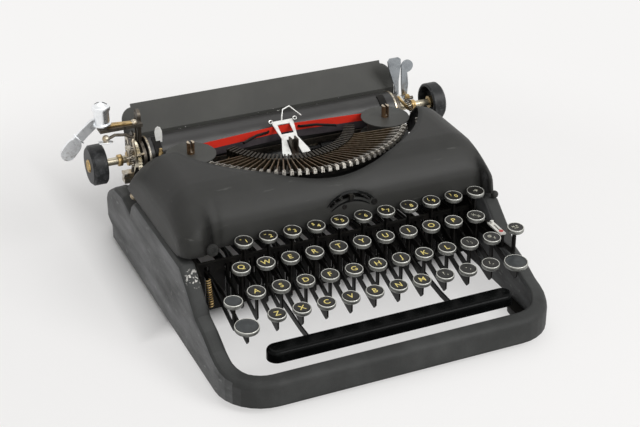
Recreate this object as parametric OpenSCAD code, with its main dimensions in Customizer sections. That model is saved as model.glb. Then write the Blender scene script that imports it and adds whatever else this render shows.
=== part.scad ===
// Portable typewriter with a front-pivoted hood, four banks of ringed keys and a shifting carriage.
// Machine coordinates are used inside every sub-part: X runs to the operator's right from the casing's
// middle, Y runs back from the front edge, and Z runs up from the table. Sizes are in millimetres.

/* [Casing] */
// Width of the casing
casing_w = 262; // [256:1:280]
// Depth of the casing
casing_d = 298; // [294:1:320]
// Thickness of the pressed sheet
casing_t = 1.6; // [1.2:0.1:2.2]
// Width of the flat rim around the keyboard well
rim_w = 12.5; // [11:0.5:14]
// Height of the casing's lower edge above the table
edge_gap = 5; // [4:0.5:6]
// Height of the front rim
front_h = 24.5; // [22:0.5:28]
// Height of the side ridge that carries the hood
ridge_h = 69.5; // [67:0.5:70]
// Height of the rounded rear shoulder
rear_h = 56; // [52:0.5:57]
// Radius of the front corners in plan
front_r = 35; // [28:1:42]
// Radius of the rear corners in plan
rear_r = 15; // [14:1:20]
// Radius of the rolled outer edge
edge_r = 5; // [3.5:0.5:6]
// Diameter of a rubber foot
foot_d = 18; // [14:1:19]

/* [Keyboard] */
// Distance between neighbouring keys in a row
key_pitch = 19.05; // [18.8:0.05:19.3]
// Distance between rows, front to back
row_run = 18.9; // [18.4:0.1:19.2]
// Rise of each row above the one in front
row_rise = 9.9; // [9.4:0.1:10.2]
// Distance of the front letter row from the front edge
front_row_y = 46.3; // [45:0.1:47]
// Height of the front letter row's key tops
front_row_z = 49.2; // [48:0.1:50.5]
// Diameter of a letter key over its ring
cap_d = 13.7; // [12.5:0.1:14.2]
// Diameter of a shift key over its ring
shift_d = 18; // [16:0.2:18.6]
// Height of a key's ring
ring_h = 3.4; // [2.6:0.1:3.8]
// Forward tilt of the key tops in degrees
key_tilt = 5; // [0:0.5:7]
// Travel of a letter key
key_dip = 10; // [7:0.5:10.5]
// Thickness of a key lever
lever_t = 1.2; // [0.9:0.1:1.3]
// Depth of a key lever's plate
lever_h = 5; // [4:0.25:5.5]
// Length of the space bar
bar_len = 195; // [170:1:200]
// Front to back size of the space bar
bar_w = 15; // [12:0.5:16]
// Height of the space bar's moulding
bar_h = 9; // [7:0.5:10]

/* [Hood] */
// Height of the hood's flat top
hood_top = 113; // [112:0.5:116]
// Thickness of the hood's sheet
hood_t = 1.5; // [1.1:0.1:2]
// Radius of the hood's side shoulders
shoulder_r = 25; // [18:1:28]
// Radius of the crescent opening over the type basket
crescent_r = 109; // [107:0.5:110]
// Opening angle of the hood in degrees
hood_open = 60; // [30:1:62]

/* [Type basket] */
// Distance of the print line from the front edge
print_y = 232; // [231.5:0.5:233]
// Number of type bars
bar_count = 42; // [36:2:42]
// Radius of the pivot wire's arc
pivot_r = 54; // [53.5:0.1:54.5]
// Height of the type bars' pivots
pivot_z = 93.5; // [93:0.1:94]
// Length of a type bar from its pivot to the face of its type
type_reach = 49.5; // [48:0.1:50]
// Rest angle of the type bars above the horizontal
rest_angle = 16; // [15:0.5:17]
// Half of the angle over which the bars fan out
fan_half = 68; // [66:0.5:69]
// Thickness of a type bar
type_t = 0.9; // [0.7:0.1:1]

/* [Ribbon] */
// Distance of each spool from the casing's middle
spool_dx = 83; // [82.5:0.1:84]
// Radius of a spool's flanges
spool_r = 19.5; // [17:0.5:20]
// Height of the ribbon band
ribbon_w = 12.5; // [11:0.5:12.5]

/* [Carriage] */
// Radius of the platen
platen_r = 15; // [14:0.25:15.5]
// Length of the platen
platen_len = 216; // [208:1:216]
// Height of the platen's axis
platen_z = 87.3; // [86.5:0.1:88]
// Radius of the platen knobs
knob_r = 16; // [13:0.5:16.5]
// Thickness of the platen knobs
knob_w = 12; // [9:0.5:13]
// Carriage travel to each side
carriage_travel = 100; // [80:1:104]
// Height by which the shift keys lift the carriage
shift_lift = 4.5; // [3:0.5:4.5]
// Width of the paper table
table_w = 237; // [224:1:240]
// Height of the paper table's top edge
table_top = 121; // [116:0.5:126]

/* [Hidden] */
$fn = 48;
eps = 0.01;
slack = 0.4;

left_reach = 176;
knob_gap = 26;
side_x = platen_len / 2 + 1.5;
side_t = 2.5;
knob_x = side_x + side_t + knob_gap + 3.5;
right_reach = knob_x + knob_w;
mid_x = (left_reach - right_reach) / 2;

well_x = casing_w / 2 - rim_w;
rear_rim = 24;
flange_low = 8;
plate_x = well_x - 5.3;
plate_t = 2;

first_x = [-80.7, -90.3, -86.5, -78.6];
row_y = [for (r = [0:3]) front_row_y + (3 - r) * row_run];
row_z = [for (r = [0:3]) front_row_z + (3 - r) * row_rise];

hood_w = casing_w / 2 - 2.5;
hood_front = row_y[0] + cap_d / 2 + 1.35;
hood_low = ridge_h + 0.7;
hood_axis_y = hood_front - 1.2;
hood_axis_z = hood_low + 0.3225 * (hood_top - hood_low);
hood_shoulder_y = print_y - 40;
hood_end = print_y - 2;
lip = 11;
corner_r = 12;
corner_rise = 2.2;

basket_x = 3;
fulcrum_y = 225;
fulcrum_z = 40;
fulcrum_d = 4;
hub_d = 9;
tip_z = 34;
knee_run = 45;
knee_z = 50;
shift_x = [-103.9, 111.3];
shift_y = [39.7, 40.8];
lock_x = -106.3;
back_x = 109.8;
release_x = well_x - 1.8;
bar_x = 3.5;
bar_y = 28.5;
bar_z = 25;
arm_x = [-55.85, 58.45];
comb_y = row_y[0] + 15;

platen_y = print_y + platen_r;
spool_y = print_y - 25;
ribbon_z = 88;
ribbon_y = print_y - 3.4;
ribbon_t = 0.3;
wound_r = 14.2;
bridge_y = [spool_y - 27, spool_y - 7];
bridge_z = 80;
rail_y = platen_y + 19;
rail_z = rear_h + 1.5;
rail_top = rail_z + 8.5;
print_tilt = 8;
head_w = 2.6;
table_t = 1.2;

// Moves a sub-part from machine coordinates to the shared frame.
module machine() translate([mid_x, -casing_d / 2, 0]) children();

// Stands a (Y, Z) outline up as a plate whose middle is at x.
module plate(x, t) translate([x - t / 2, 0, 0]) rotate([90, 0, 90]) linear_extrude(t) children();

// Stands an (X, Z) outline up as a plate that faces the operator.
module face_plate(y, t) translate([0, y + t / 2, 0]) rotate([90, 0, 0]) linear_extrude(t) children();

// A straight strip between two points of an outline.
module strip(p, q, w) translate(p) rotate(atan2(q[1] - p[1], q[0] - p[0]))
    translate([0, -w / 2]) square([norm(q - p), w]);

// A chain of strips with round joints, a little narrower than the strips.
module chain(points, w) for (i = [1:len(points) - 1]) {
    strip(points[i - 1], points[i], w);
    translate(points[i]) circle(d = 0.96 * w);
}

// A shaft along X.
module shaft(x0, x1, y, z, r) translate([x0, y, z]) rotate([0, 90, 0]) cylinder(r = r, h = x1 - x0);

// A round wire between two points in space.
module wire(p, q, r) {
    d = q - p;
    translate(p) rotate([0, acos(d[2] / norm(d)), atan2(d[1], d[0])]) cylinder(r = r, h = norm(d), $fn = 16);
    translate(q) sphere(r = r, $fn = 16);
}

// A sector of a ring about the print point's vertical axis, measured from straight forward.
module basket_ring(r0, r1, z0, z1, half) translate([basket_x, print_y, z0]) rotate(-90 - half)
    rotate_extrude(angle = 2 * half) translate([r0, 0]) square([r1 - r0, z1 - z0]);

// Casing

function outer_side() = [for (y = [for (v = [0, 8, 16, 24, 31, 38, 44, 50, 55, 60, 64.5, 69, 80, 110,
    140, 173, 177, 181, 186, 195]) 35 + v]) y];
side_y = outer_side();
rear_start = casing_d - rear_r;
side_stations = [for (y = side_y) y, casing_d - 56, casing_d - 45, casing_d - 34, casing_d - 24];
side_profile = [[0, front_h], [20, front_h + 0.5], [43, front_h + 7], [59, front_h + 14.5],
    [73, ridge_h - 26.5], [85, ridge_h - 15.5], [95, ridge_h - 7.5], [104, ridge_h],
    [hood_shoulder_y + 16, ridge_h], [hood_shoulder_y + 24, ridge_h - 5.5],
    [hood_shoulder_y + 29, rear_h - 2], [casing_d - 56, rear_h + 2.5], [casing_d - 34, rear_h],
    [casing_d - 15, rear_h - 12], [casing_d - 2, rear_h - 25], [casing_d, rear_h - 28]];
function top_at(y) = lookup(y, side_profile);
function slope_at(y) = (top_at(y + 1) - top_at(y - 1)) / 2;
function sheet_at(y) = casing_t * min(1.8, sqrt(1 + pow(slope_at(y), 2)));

function corner(cx, cy, r, a0, n) = [for (i = [0:n]) [cx + r * cos(a0 + 90 * i / n), cy + r * sin(a0 + 90 * i / n)]];

// Right half of a plan outline from the front middle to the rear middle.
function half_outline(w, y0, y1, rf, rr, limit) = concat(
    [[0, y0], [(w - rf) / 2, y0]],
    corner(w - rf, y0 + rf, rf, -90, 8),
    [for (y = side_stations) if (y > front_r + 1) [w, y < 240 ? y : 240 + (y - 240) * limit]],
    corner(w - rr, y1 - rr, rr, 0, 5),
    [[(w - rr) / 2, y1], [0, y1]]);
rear_in_r = 4;
well_end = casing_d - rear_rim;
shrink = (well_end - rear_in_r - 240) / (casing_d - rear_r - 240);
outer_half = half_outline(casing_w / 2, 0, casing_d, front_r, rear_r, 1);
inner_half = half_outline(well_x, rim_w, well_end, front_r - rim_w, rear_in_r, shrink);
function whole(h) = concat(h, [for (i = [len(h) - 2:-1:1]) [-h[i][0], h[i][1]]]);

// One section of the casing: up the outer wall, over the rolled edge, across the rim and down inside.
function casing_section(po, pi) = let (
    run = norm(pi - po),
    u = (pi - po) / run,
    inset = 14 * max(0, min(1, (po[1] - casing_d + 23) / 21)),
    low = flange_low + max(0, min(34, (pi[1] - 225) * 0.75)),
    roll = [for (a = [0, 30, 60]) [edge_r * (1 - cos(a)), edge_r * (1 - sin(a))]],
    flat = [for (k = [0, 0.33, 0.67, 1]) edge_r + (run - edge_r - 2) * k],
    at = function (d, z) [po[0] + u[0] * d, po[1] + u[1] * d, z],
    top = function (d) top_at(po[1] + u[1] * d),
    thin = function (d) sheet_at(po[1] + u[1] * d)
) concat(
    [at(inset, edge_gap), at(0, edge_gap + 14)],
    [for (p = roll) at(p[0], top(p[0]) - p[1])],
    [for (d = flat) at(d, top(d))],
    [at(run - 0.6, top(run) - 0.6), at(run, top(run) - 2), at(run, low)],
    [at(run - casing_t, low), at(run - casing_t, top(run) - 2 - thin(run))],
    [for (i = [3:-1:0]) at(min(flat[i], run - casing_t - 0.8), top(flat[i]) - thin(flat[i]))],
    [at(casing_t + 0.8, top(casing_t) - edge_r - 0.2), at(casing_t, edge_gap + 14.2), at(inset + casing_t, edge_gap)]);

// Joins closed sections into a closed loop.
module loop_solid(rings) {
    n = len(rings);
    m = len(rings[0]);
    points = [for (r = rings) for (p = r) p];
    faces = [for (i = [0:n - 1]) for (j = [0:m - 1]) let (
        a = i * m + j,
        b = i * m + (j + 1) % m,
        c = ((i + 1) % n) * m + (j + 1) % m,
        d = ((i + 1) % n) * m + j
    ) each [[a, b, c], [a, c, d]]];
    polyhedron(points = points, faces = faces);
}

module casing() color([0.16, 0.16, 0.16]) machine() {
    po = whole(outer_half);
    pi = whole(inner_half);
    loop_solid([for (i = [0:len(po) - 1]) casing_section(po[i], pi[i])]);
}

foot_y = [45, casing_d - 36];

module rubber_feet() color([0.08, 0.08, 0.08]) machine()
    for (s = [-1, 1]) for (y = foot_y) translate([s * (casing_w / 2 - 11.5), y, 0]) {
        cylinder(d1 = foot_d - 2, d2 = foot_d, h = 1.5);
        translate([0, 0, 1.5]) cylinder(d = foot_d, h = flange_low - 3.5);
    }

// Mechanism frame

lever_planes = concat(
    [for (i = [0:9]) first_x[0] + i * key_pitch], [for (i = [0:10]) first_x[1] + i * key_pitch],
    [for (i = [0:10]) first_x[2] + i * key_pitch], [for (i = [0:9]) first_x[3] + i * key_pitch],
    arm_x, [shift_x[0], shift_x[1] + 0.2, lock_x, back_x - 0.8]);

module frame_side() {
    difference() {
        union() {
            polygon([[comb_y - 14, 14], [rail_y - 2, 14], [rail_y + 2, 24], [rail_y + 2, rear_h - 3],
                [print_y + 6, rear_h - 2], [print_y - 8, 68], [print_y - 24, bridge_z], [bridge_y[0] - 6, bridge_z],
                [comb_y, 62], [comb_y - 14, 56]]);
            translate([fulcrum_y, fulcrum_z]) circle(d = 16);
        }
        translate([fulcrum_y, fulcrum_z]) circle(d = fulcrum_d);
        translate([165, 36]) circle(d = 22);
        translate([195, 56]) circle(d = 18);
    }
}

module frame_cross(y0, y1, z0, z1) translate([-plate_x - eps, y0, z0]) cube([2 * plate_x + 2 * eps, y1 - y0, z1 - z0]);

module mechanism_frame() color([0.1, 0.1, 0.11]) machine() {
    for (s = [-1, 1]) {
        plate(s * (plate_x + plate_t / 2), plate_t) frame_side();
        for (y = [148, 200]) translate([s > 0 ? plate_x + plate_t - eps : -well_x, y, 18])
            cube([well_x - plate_x - plate_t + eps, 8, 10]);
        for (y = foot_y) translate([s > 0 ? well_x - 9 : -casing_w / 2 + casing_t + 0.4, y - 11, flange_low - 2])
            cube([rim_w + 9 - casing_t - 0.4, 22, 2]);
    }
    plate(plate_x + plate_t / 2, plate_t) polygon([[66, 47], [72, 44], [104, 44], [104, 55], [90, 57.6], [66, 57.6]]);
    difference() {
        frame_cross(comb_y - 1.5, comb_y + 1.5, 18, 58);
        for (x = lever_planes) translate([x - lever_t / 2 - 0.25, comb_y - 5, 22]) cube([lever_t + 0.5, 10, 33]);
    }
    frame_cross(rail_y - 10, rail_y - 6, 18, 34);
    frame_cross(bridge_y[0], bridge_y[1], bridge_z - 4, bridge_z);
    basket_ring(pivot_r - 4.5, pivot_r + 4.5, bridge_z, pivot_z - 9.5, fan_half + 2);
    basket_ring(90, 92, bridge_z, 99, 56);
    translate([basket_x, print_y, 99]) rotate(-90 - 57) rotate_extrude(angle = 114)
        polygon([[88, 0], [95.5, 0], [95.5, rest_top(95.5) - 99], [88, rest_top(88) - 99]]);
    for (p = [[-86, 29, 9], [0, 42, 5]]) translate([p[0], rail_y - 9.9 - p[2], p[1]]) rotate([-90, 0, 0])
        cylinder(r = 1.9, h = p[2] + 0.4);
    translate([-3, rail_y - 9.8, 33.9]) cube([6, 2, 11]);
    for (s = [-1, 1]) translate([s * 92, rail_y, 18]) difference() {
        union() {
            translate([-6, -10, 0]) cube([12, 12, 10]);
            cylinder(d = 12, h = 10);
        }
        translate([0, 0, -1]) cylinder(d = 6, h = 12);
    }
}
function rest_top(r) = pivot_z + (r - pivot_r) * tan(rest_angle) - 1.3 / cos(rest_angle);

module key_fulcrum_rod() color([0.55, 0.55, 0.55]) machine()
    shaft(-plate_x - plate_t - 1, release_x + 1.4, fulcrum_y, fulcrum_z, fulcrum_d / 2);

// Type basket

fan_step = 2 * fan_half / (bar_count - 1);
function bar_angle(i) = -fan_half + i * fan_step;
moving_bar = bar_count / 2;
outer_limit = 57;

module at_bar(i) translate([basket_x, print_y, 0]) rotate(bar_angle(i)) translate([0, -pivot_r, pivot_z]) children();

module type_segment() color([0.3, 0.29, 0.27]) machine() {
    difference() {
        basket_ring(pivot_r - 4.5, pivot_r + 4.5, pivot_z - 9.5, pivot_z + 4, fan_half + 2);
        for (i = [0:bar_count - 1]) at_bar(i) translate([-0.8, -7, -6.5]) cube([1.6, 14, 13]);
    }
    translate([basket_x, print_y, pivot_z]) rotate(-90 - fan_half - 1) rotate_extrude(angle = 2 * fan_half + 2)
        translate([pivot_r, 0]) circle(r = 0.6, $fn = 16);
}

// A type bar pointing forward from its pivot, with its slug at the end.
module type_bar(reach) {
    plate(0, type_t) difference() {
        union() {
            circle(r = 2.2);
            polygon([[0, -2], [0, 2], [-12, 1.6], [-reach + 4, 1.1], [-reach + 4, -1.1], [-12, -1.3]]);
        }
        circle(r = 0.9, $fn = 16);
    }
    translate([-head_w / 2, -reach, -1.6]) cube([head_w, 4.5, 3.2]);
    translate([-head_w / 2 + 0.4, -reach + 1, 1.5]) cube([head_w - 0.8, 2.6, 1]);
}

// A side bar that dips under its spool and rises again outside it.
module cranked_bar() {
    plate(0, type_t) difference() {
        union() {
            circle(r = 2.2);
            chain([[0, 0], [-9, -9], [-55.3, -9], [-55.3, 7]], 2);
        }
        circle(r = 0.9, $fn = 16);
    }
    translate([-head_w / 2, -57.8, 7]) cube([head_w, 4.5, 3.2]);
}

module typebars() color([0.42, 0.36, 0.28]) machine()
    for (i = [0:bar_count - 1]) if (i != moving_bar) at_bar(i)
        if (abs(bar_angle(i)) > outer_limit) cranked_bar(); else rotate([-rest_angle, 0, 0]) type_bar(type_reach);

module typebar_h() color([0.6, 0.58, 0.52]) machine()
    at_bar(moving_bar) rotate([-rest_angle, 0, 0]) type_bar(type_reach);

guide_y = [print_y - 28, print_y - 21];
module type_guide() color([0.75, 0.75, 0.76]) machine() {
    translate([basket_x - 2.9, print_y - pivot_r + 4.6, pivot_z - 9]) cube([5.8, pivot_r - 4.6 - 21, 2.2]);
    for (s = [-1, 1]) translate([basket_x + s * 2.3 - 0.6, guide_y[0], pivot_z - 8]) cube([1.2, 7, 13]);
}

plate_low = [print_y - 31.4, pivot_z - 6.1];
plate_high = [print_y, pivot_z + 9.5];
plate_dir = (plate_high - plate_low) / norm(plate_high - plate_low);
plate_len = norm(plate_high - plate_low);

module ribbon_vibrator() color([0.85, 0.85, 0.84]) machine() {
    translate([basket_x, plate_low[0], plate_low[1]]) rotate([atan2(plate_dir[1], plate_dir[0]), 0, 0])
        translate([0, 0, -0.4]) linear_extrude(0.8) difference() {
            polygon([[-9, plate_len], [9, plate_len], [9, plate_len - 3], [6.8, plate_len - 18], [11.5, 3], [11.5, 0],
                [-11.5, 0], [-11.5, 3], [-6.8, plate_len - 18], [-9, plate_len - 3]]);
            translate([-5.3, 21.2]) square([10.6, 10]);
            polygon([[-3.5, 15], [3.5, 15], [4.6, -1], [-4.6, -1]]);
        }
    for (s = [-1, 1]) translate([basket_x + s * 7.5 - 1, plate_low[0] + 1.2, 66]) cube([2, 2.4, plate_low[1] - 65.6]);
    wire([basket_x - 0.5, plate_high[0] - 1, plate_high[1] - 0.4], [basket_x + 0.5, 233, 106], 0.55);
    wire([basket_x + 0.5, 233, 106], [basket_x + 2.5, 236, 110.6], 0.55);
    wire([basket_x + 2.5, 236, 110.6], [basket_x + 9, 238, 111.7], 0.55);
    wire([basket_x + 9, 238, 111.7], [basket_x + 18, 235, 103.2], 0.55);
}

module spool_cups() color([0.2, 0.2, 0.2]) machine()
    for (s = [-1, 1]) translate([s * spool_dx, spool_y, bridge_z]) difference() {
        union() {
            cylinder(r = spool_r + 1, h = 1.4);
            cylinder(r = 4.5, h = 3.4);
        }
        translate([0, 0, -1]) cylinder(r = 2.4, h = 6);
    }

module spool() {
    translate([0, 0, bridge_z - 1]) cylinder(r = 2.1, h = ribbon_z - bridge_z);
    translate([0, 0, ribbon_z - 1.3]) cylinder(r = spool_r, h = 0.8);
    translate([0, 0, ribbon_z - 0.6]) cylinder(r = wound_r, h = ribbon_w + 1.6);
    translate([0, 0, ribbon_z + ribbon_w + 0.8]) cylinder(r = spool_r, h = 0.9);
    translate([0, 0, ribbon_z + ribbon_w + 1.6]) difference() {
        cylinder(r = 3, h = hood_top - ribbon_z - ribbon_w - 2.6);
        translate([-1, -4, 2]) cube([2, 8, 12]);
    }
}

module ribbon_spool_left() color([0.35, 0.34, 0.33]) machine() translate([-spool_dx, spool_y, 0]) spool();
module ribbon_spool_right() color([0.35, 0.34, 0.33]) machine() translate([spool_dx, spool_y, 0]) spool();

module ribbon() color([0.75, 0.1, 0.08]) machine() translate([0, 0, ribbon_z]) linear_extrude(ribbon_w) {
    start = spool_y + wound_r + slack;
    polygon([[-spool_dx, start], [basket_x - 10, ribbon_y], [basket_x + 10, ribbon_y], [spool_dx, start],
        [spool_dx, start + ribbon_t], [basket_x + 10, ribbon_y + ribbon_t], [basket_x - 10, ribbon_y + ribbon_t],
        [-spool_dx, start + ribbon_t]]);
}

// Hood

hood_full = hood_top - hood_low;
hood_profile = [[-1.6, -39.8, 1], [-0.8, -33, 1], [0, -25, 0.92], [2, -19.5, 0.78], [6, -14.7, 0.6],
    [10, -10.7, 0.42], [15, -6.3, 0.24], [21, -2.5, 0.1], [28, -0.4, 0.02], [38, 0, 0]];
hood_tail = [[0, 0], [7, -2.5], [13, -6.2], [19, -11], [25, -17], [30, -24], [34, -32], [38, -40]];
hood_line = concat(
    [for (p = hood_profile) [hood_front + p[0], hood_top + p[1], p[2]]],
    [[hood_front + 58, hood_top, 0]],
    [for (p = hood_tail) [hood_shoulder_y + p[0], hood_top + p[1], 0]]);
arc_steps = [90, 76, 62, 48, 36, 24, 12, 0];
function shoulder(a) = [hood_w - shoulder_r * (1 - sin(a)), 1 - shoulder_r / hood_full * (1 - cos(a))];
hood_side = concat([[hood_w, 0], [hood_w, (1 - shoulder_r / hood_full) / 2]], [for (a = arc_steps) shoulder(a)]);
hood_mid = [0.92, 0.84, 0.7, 0.45, 0.2];
hood_row = concat(
    [for (p = hood_side) [-p[0], p[1]]],
    [for (k = hood_mid) [-k * (hood_w - shoulder_r), 1]], [[0, 1]],
    [for (i = [len(hood_mid) - 1:-1:0]) [hood_mid[i] * (hood_w - shoulder_r), 1]],
    [for (i = [len(hood_side) - 1:-1:0]) hood_side[i]]);
function smooth(v) = let (c = max(0, min(1, v))) c * c * (3 - 2 * c);
function recess(x) = lip * smooth((x + hood_w - 14.5) / 16) * smooth((hood_w - 7.5 - x) / 3.5);
function corner_back(x) = corner_r * (1 - sqrt(max(0, 1 - pow(max(0, abs(x) - hood_w + corner_r) / corner_r, 2))));
function line_dir(i) = let (
    a = hood_line[max(0, i - 1)],
    b = hood_line[min(len(hood_line) - 1, i + 1)],
    d = [b[0] - a[0], b[1] - a[1]]
) d / norm(d);
function hood_point(i, k, inside) = let (
    p = hood_line[i],
    d = line_dir(i),
    y = p[0] + inside * d[1],
    z = p[1] - inside * d[0],
    x = hood_row[k][0] * (hood_w - inside) / hood_w
) [x, y + p[2] * (recess(hood_row[k][0]) - lip + corner_back(hood_row[k][0])),
    hood_low + (z - hood_low) * hood_row[k][1] + corner_rise * p[2] * (1 - recess(hood_row[k][0]) / lip)];

module hood_shell() {
    ns = len(hood_row);
    nt = len(hood_line);
    points = concat(
        [for (i = [0:nt - 1]) for (k = [0:ns - 1]) hood_point(i, k, 0)],
        [for (i = [0:nt - 1]) for (k = [0:ns - 1]) hood_point(i, k, hood_t)]);
    n = ns * nt;
    skins = [for (i = [0:nt - 2]) for (k = [0:ns - 2]) let (a = i * ns + k, b = a + ns)
        each [[a, b, b + 1], [a, b + 1, a + 1], [n + a, n + b + 1, n + b], [n + a, n + a + 1, n + b + 1]]];
    ends = [for (k = [0:ns - 2]) let (a = k, b = (nt - 1) * ns + k)
        each [[a, a + 1, n + a + 1], [a, n + a + 1, n + a], [b + 1, b, n + b], [b + 1, n + b, n + b + 1]]];
    sides = [for (i = [0:nt - 2]) let (a = i * ns, b = a + ns - 1)
        each [[a + ns, a, n + a], [a + ns, n + a, n + a + ns],
            [b, b + ns, n + b + ns], [b, n + b + ns, n + b]]];
    polyhedron(points = points, faces = concat(skins, ends, sides));
}

touch_x = 7.9;
touch_r = 27;
touch_z = hood_top - 48.3;

module hood() color([0.2, 0.2, 0.2]) machine() {
    difference() {
        hood_shell();
        translate([basket_x, print_y, hood_low - 20]) cylinder(r = crescent_r, h = 80, $fn = 96);
        translate([touch_x, hood_front + 8, touch_z]) rotate([90, 0, 0]) rotate(52)
            rotate_extrude(angle = 76) translate([touch_r - 1.5, 0]) square([3, 12]);
    }
    for (s = [-1, 1]) difference() {
        shaft(s > 0 ? hood_w - 4.75 : -hood_w + 2.1, s > 0 ? hood_w - 2.1 : -hood_w + 4.75, hood_axis_y, hood_axis_z, 3);
        shaft(-hood_w - 1, hood_w + 1, hood_axis_y, hood_axis_z, 2);
    }
}

pivot_plate = hood_w - 6.9;
module hood_pivots() color([0.5, 0.5, 0.5]) machine() for (s = [-1, 1]) {
    plate(s * (pivot_plate + 0.9), 1.8) {
        chain([[hood_axis_y, hood_axis_z], [hood_axis_y + 11, hood_axis_z]], 4.8);
        translate([hood_axis_y, hood_axis_z]) circle(d = 5);
        translate([hood_axis_y + 7.5, ridge_h]) square([8, hood_axis_z - ridge_h]);
    }
    shaft(s > 0 ? pivot_plate + 1.7 : -pivot_plate - 2.7, s > 0 ? pivot_plate + 2.7 : -pivot_plate - 1.7,
        hood_axis_y, hood_axis_z, 1.7);
}

module touch_lever() color([0.12, 0.12, 0.12]) machine() translate([touch_x, 0, touch_z]) {
    translate([-1.6, hood_front - 2.6, touch_r - 2.6]) cube([3.2, 2.2, 5.2]);
    translate([-1.1, hood_front - 1, touch_r - 1]) cube([2.2, 6.2, 2]);
    translate([-4, hood_front + 4.6, touch_r - 3.6]) cube([8, 1.2, 6]);
}

module ribbon_selector() color([0.9, 0.9, 0.88]) machine() {
    difference() {
        translate([plate_x - 1.6, 66, 58]) cube([5, 20, 1.2]);
        translate([plate_x + 0.4, 72, 57]) cube([1.4, 9, 3]);
    }
    translate([plate_x + 0.9, 83.2, 59.1]) cylinder(d = 2.6, h = 2.4);
}

// Carriage

module carriage_rails() color([0.45, 0.45, 0.46]) machine() {
    difference() {
        translate([-plate_x - 8, rail_y - 4, rail_z]) cube([2 * plate_x + 16, 8, rail_top - rail_z]);
        translate([-plate_x - 9, rail_y - 5, rail_z + 3.6]) cube([2 * plate_x + 18, 3, 2.6]);
        translate([-plate_x - 9, rail_y + 2, rail_z + 3.6]) cube([2 * plate_x + 18, 3, 2.6]);
    }
    for (s = [-1, 1]) translate([s * 92, rail_y, 22]) cylinder(d = 5.4, h = rail_z - 21.9);
}

module end_outline() {
    translate([platen_y, platen_z]) circle(r = 13);
    chain([[platen_y, platen_z], [rail_y, rail_top + 5.4]], 10);
    chain([[platen_y, platen_z], [platen_y - 7.6, platen_z - 17.9]], 9);
}

roller_y = platen_y - 7.6;
roller_z = platen_z - 17.9;

module platen_ring(r0, r1, a0, a1, x0, x1) translate([x0, platen_y, platen_z]) rotate([90, 0, 90]) rotate(a0)
    rotate_extrude(angle = a1 - a0) translate([r0, 0]) square([r1 - r0, x1 - x0]);

module carriage_frame() color([0.3, 0.3, 0.31]) machine() {
    difference() {
        union() {
            for (s = [-1, 1]) plate(s * (side_x + side_t / 2), side_t) end_outline();
            plate(-side_x - side_t / 2, side_t) chain([[platen_y + 6, platen_z], [platen_y + 4, platen_z + 34]], 10);
        }
        shaft(-side_x - 9, side_x + 9, platen_y, platen_z, 3.3);
        shaft(-side_x - 9, side_x + 9, roller_y, roller_z, 1.8);
    }
    translate([-side_x - eps, rail_y - 4, rail_top + 0.6]) cube([2 * side_x + 2 * eps, 8, 6]);
    for (s = [-1, 1]) translate([s * 70 - 12, rail_y + (s > 0 ? 4.4 : 4.4), rail_z + 1]) cube([24, 2, rail_top - rail_z + 3]);
    for (s = [-1, 1]) translate([s * 70 - 12, rail_y + 3.9, rail_top + 0.6]) cube([24, 2.5, 3]);
    platen_ring(platen_r + 1, platen_r + 1.8, 198, 230, -side_x - eps, side_x + eps);
    platen_ring(platen_r + 1, platen_r + 1.8, 264, 335, -side_x - eps, side_x + eps);
    for (s = [-1, 1]) translate([s * 60 - 6, platen_y + 17.1, rail_top + 6]) cube([12, 1.6, 26]);
    difference() {
        translate([post_x - 3.2, platen_y - 9, platen_z + 29.6]) cube([-post_x + 3.2 - side_x - side_t / 2, 10, 2.6]);
        translate([post_x, post_y, platen_z + 28]) cylinder(r = 2.4, h = 6);
    }
    shaft(side_x + side_t - 0.2, side_x + side_t + 21, platen_y + 8.5, platen_z + 2.7, 1.5);
    shaft(-100, 100, rail_y + 14, rail_top + 3.5, 2);
    for (s = [-1, 1]) translate([s * 98 - 2, rail_y + 3.9, rail_top + 1.5]) cube([4, 12, 4]);
}

module paper_fingers() color([0.8, 0.8, 0.82]) machine()
    for (x = [-100, 96]) platen_ring(platen_r + 0.5, platen_r + 1, 98, 205, x - 3, x + 3);

ratchet_n = 30;
module platen() color([0.1, 0.1, 0.1]) machine() {
    shaft(-platen_len / 2, platen_len / 2, platen_y, platen_z, platen_r);
    shaft(-knob_x - 4, knob_x + 4, platen_y, platen_z, 3);
    plate(-side_x - side_t - 3.5, 3) translate([platen_y, platen_z]) polygon([for (i = [0:2 * ratchet_n - 1])
        let (r = i % 2 == 0 ? 13.5 : 12, a = i * 180 / ratchet_n) [r * cos(a), r * sin(a)]]);
}

// A rubber knob, dished on the side that faces the carriage.
module knob() rotate_extrude() polygon([[0, 2], [5, 2], [5, 7], [knob_r - 3.4, 7], [knob_r - 2.6, 1.2], [knob_r - 2, 0],
    [knob_r - 1, 0], [knob_r, 1], [knob_r, knob_w - 2], [knob_r - 2, knob_w], [0, knob_w]]);

module platen_knobs() color([0.07, 0.07, 0.07]) machine() for (s = [-1, 1])
    translate([s * knob_x, platen_y, platen_z]) rotate([0, s * 90, 0]) difference() {
        knob();
        translate([0, 0, -1]) cylinder(r = 3, h = 5);
    }

post_x = -141.5;
post_y = platen_y - 4;
module return_lever() color([0.8, 0.8, 0.82]) machine() {
    translate([post_x, post_y, platen_z + 28.8]) cylinder(r = 2, h = 9.2);
    translate([post_x, post_y, platen_z + 35]) cylinder(r = 6, h = 16);
    translate([post_x, post_y, platen_z + 51]) intersection() {
        translate([0, 0, -4.7]) sphere(r = 7.6);
        cylinder(r = 6.4, h = 2.8);
    }
    face_plate(post_y, 3) {
        chain([[post_x, platen_z + 38.7], [post_x - 7, platen_z + 37], [post_x - 14, platen_z + 31.5],
            [post_x - 20, platen_z + 26], [post_x - 24, platen_z + 21]], 7.5);
        chain([[post_x - 23.5, platen_z + 21.5], [post_x - 28.5, platen_z + 16]], 12);
        translate([post_x - 23.5, platen_z + 21.5]) circle(d = 11.6);
    }
}

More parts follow.
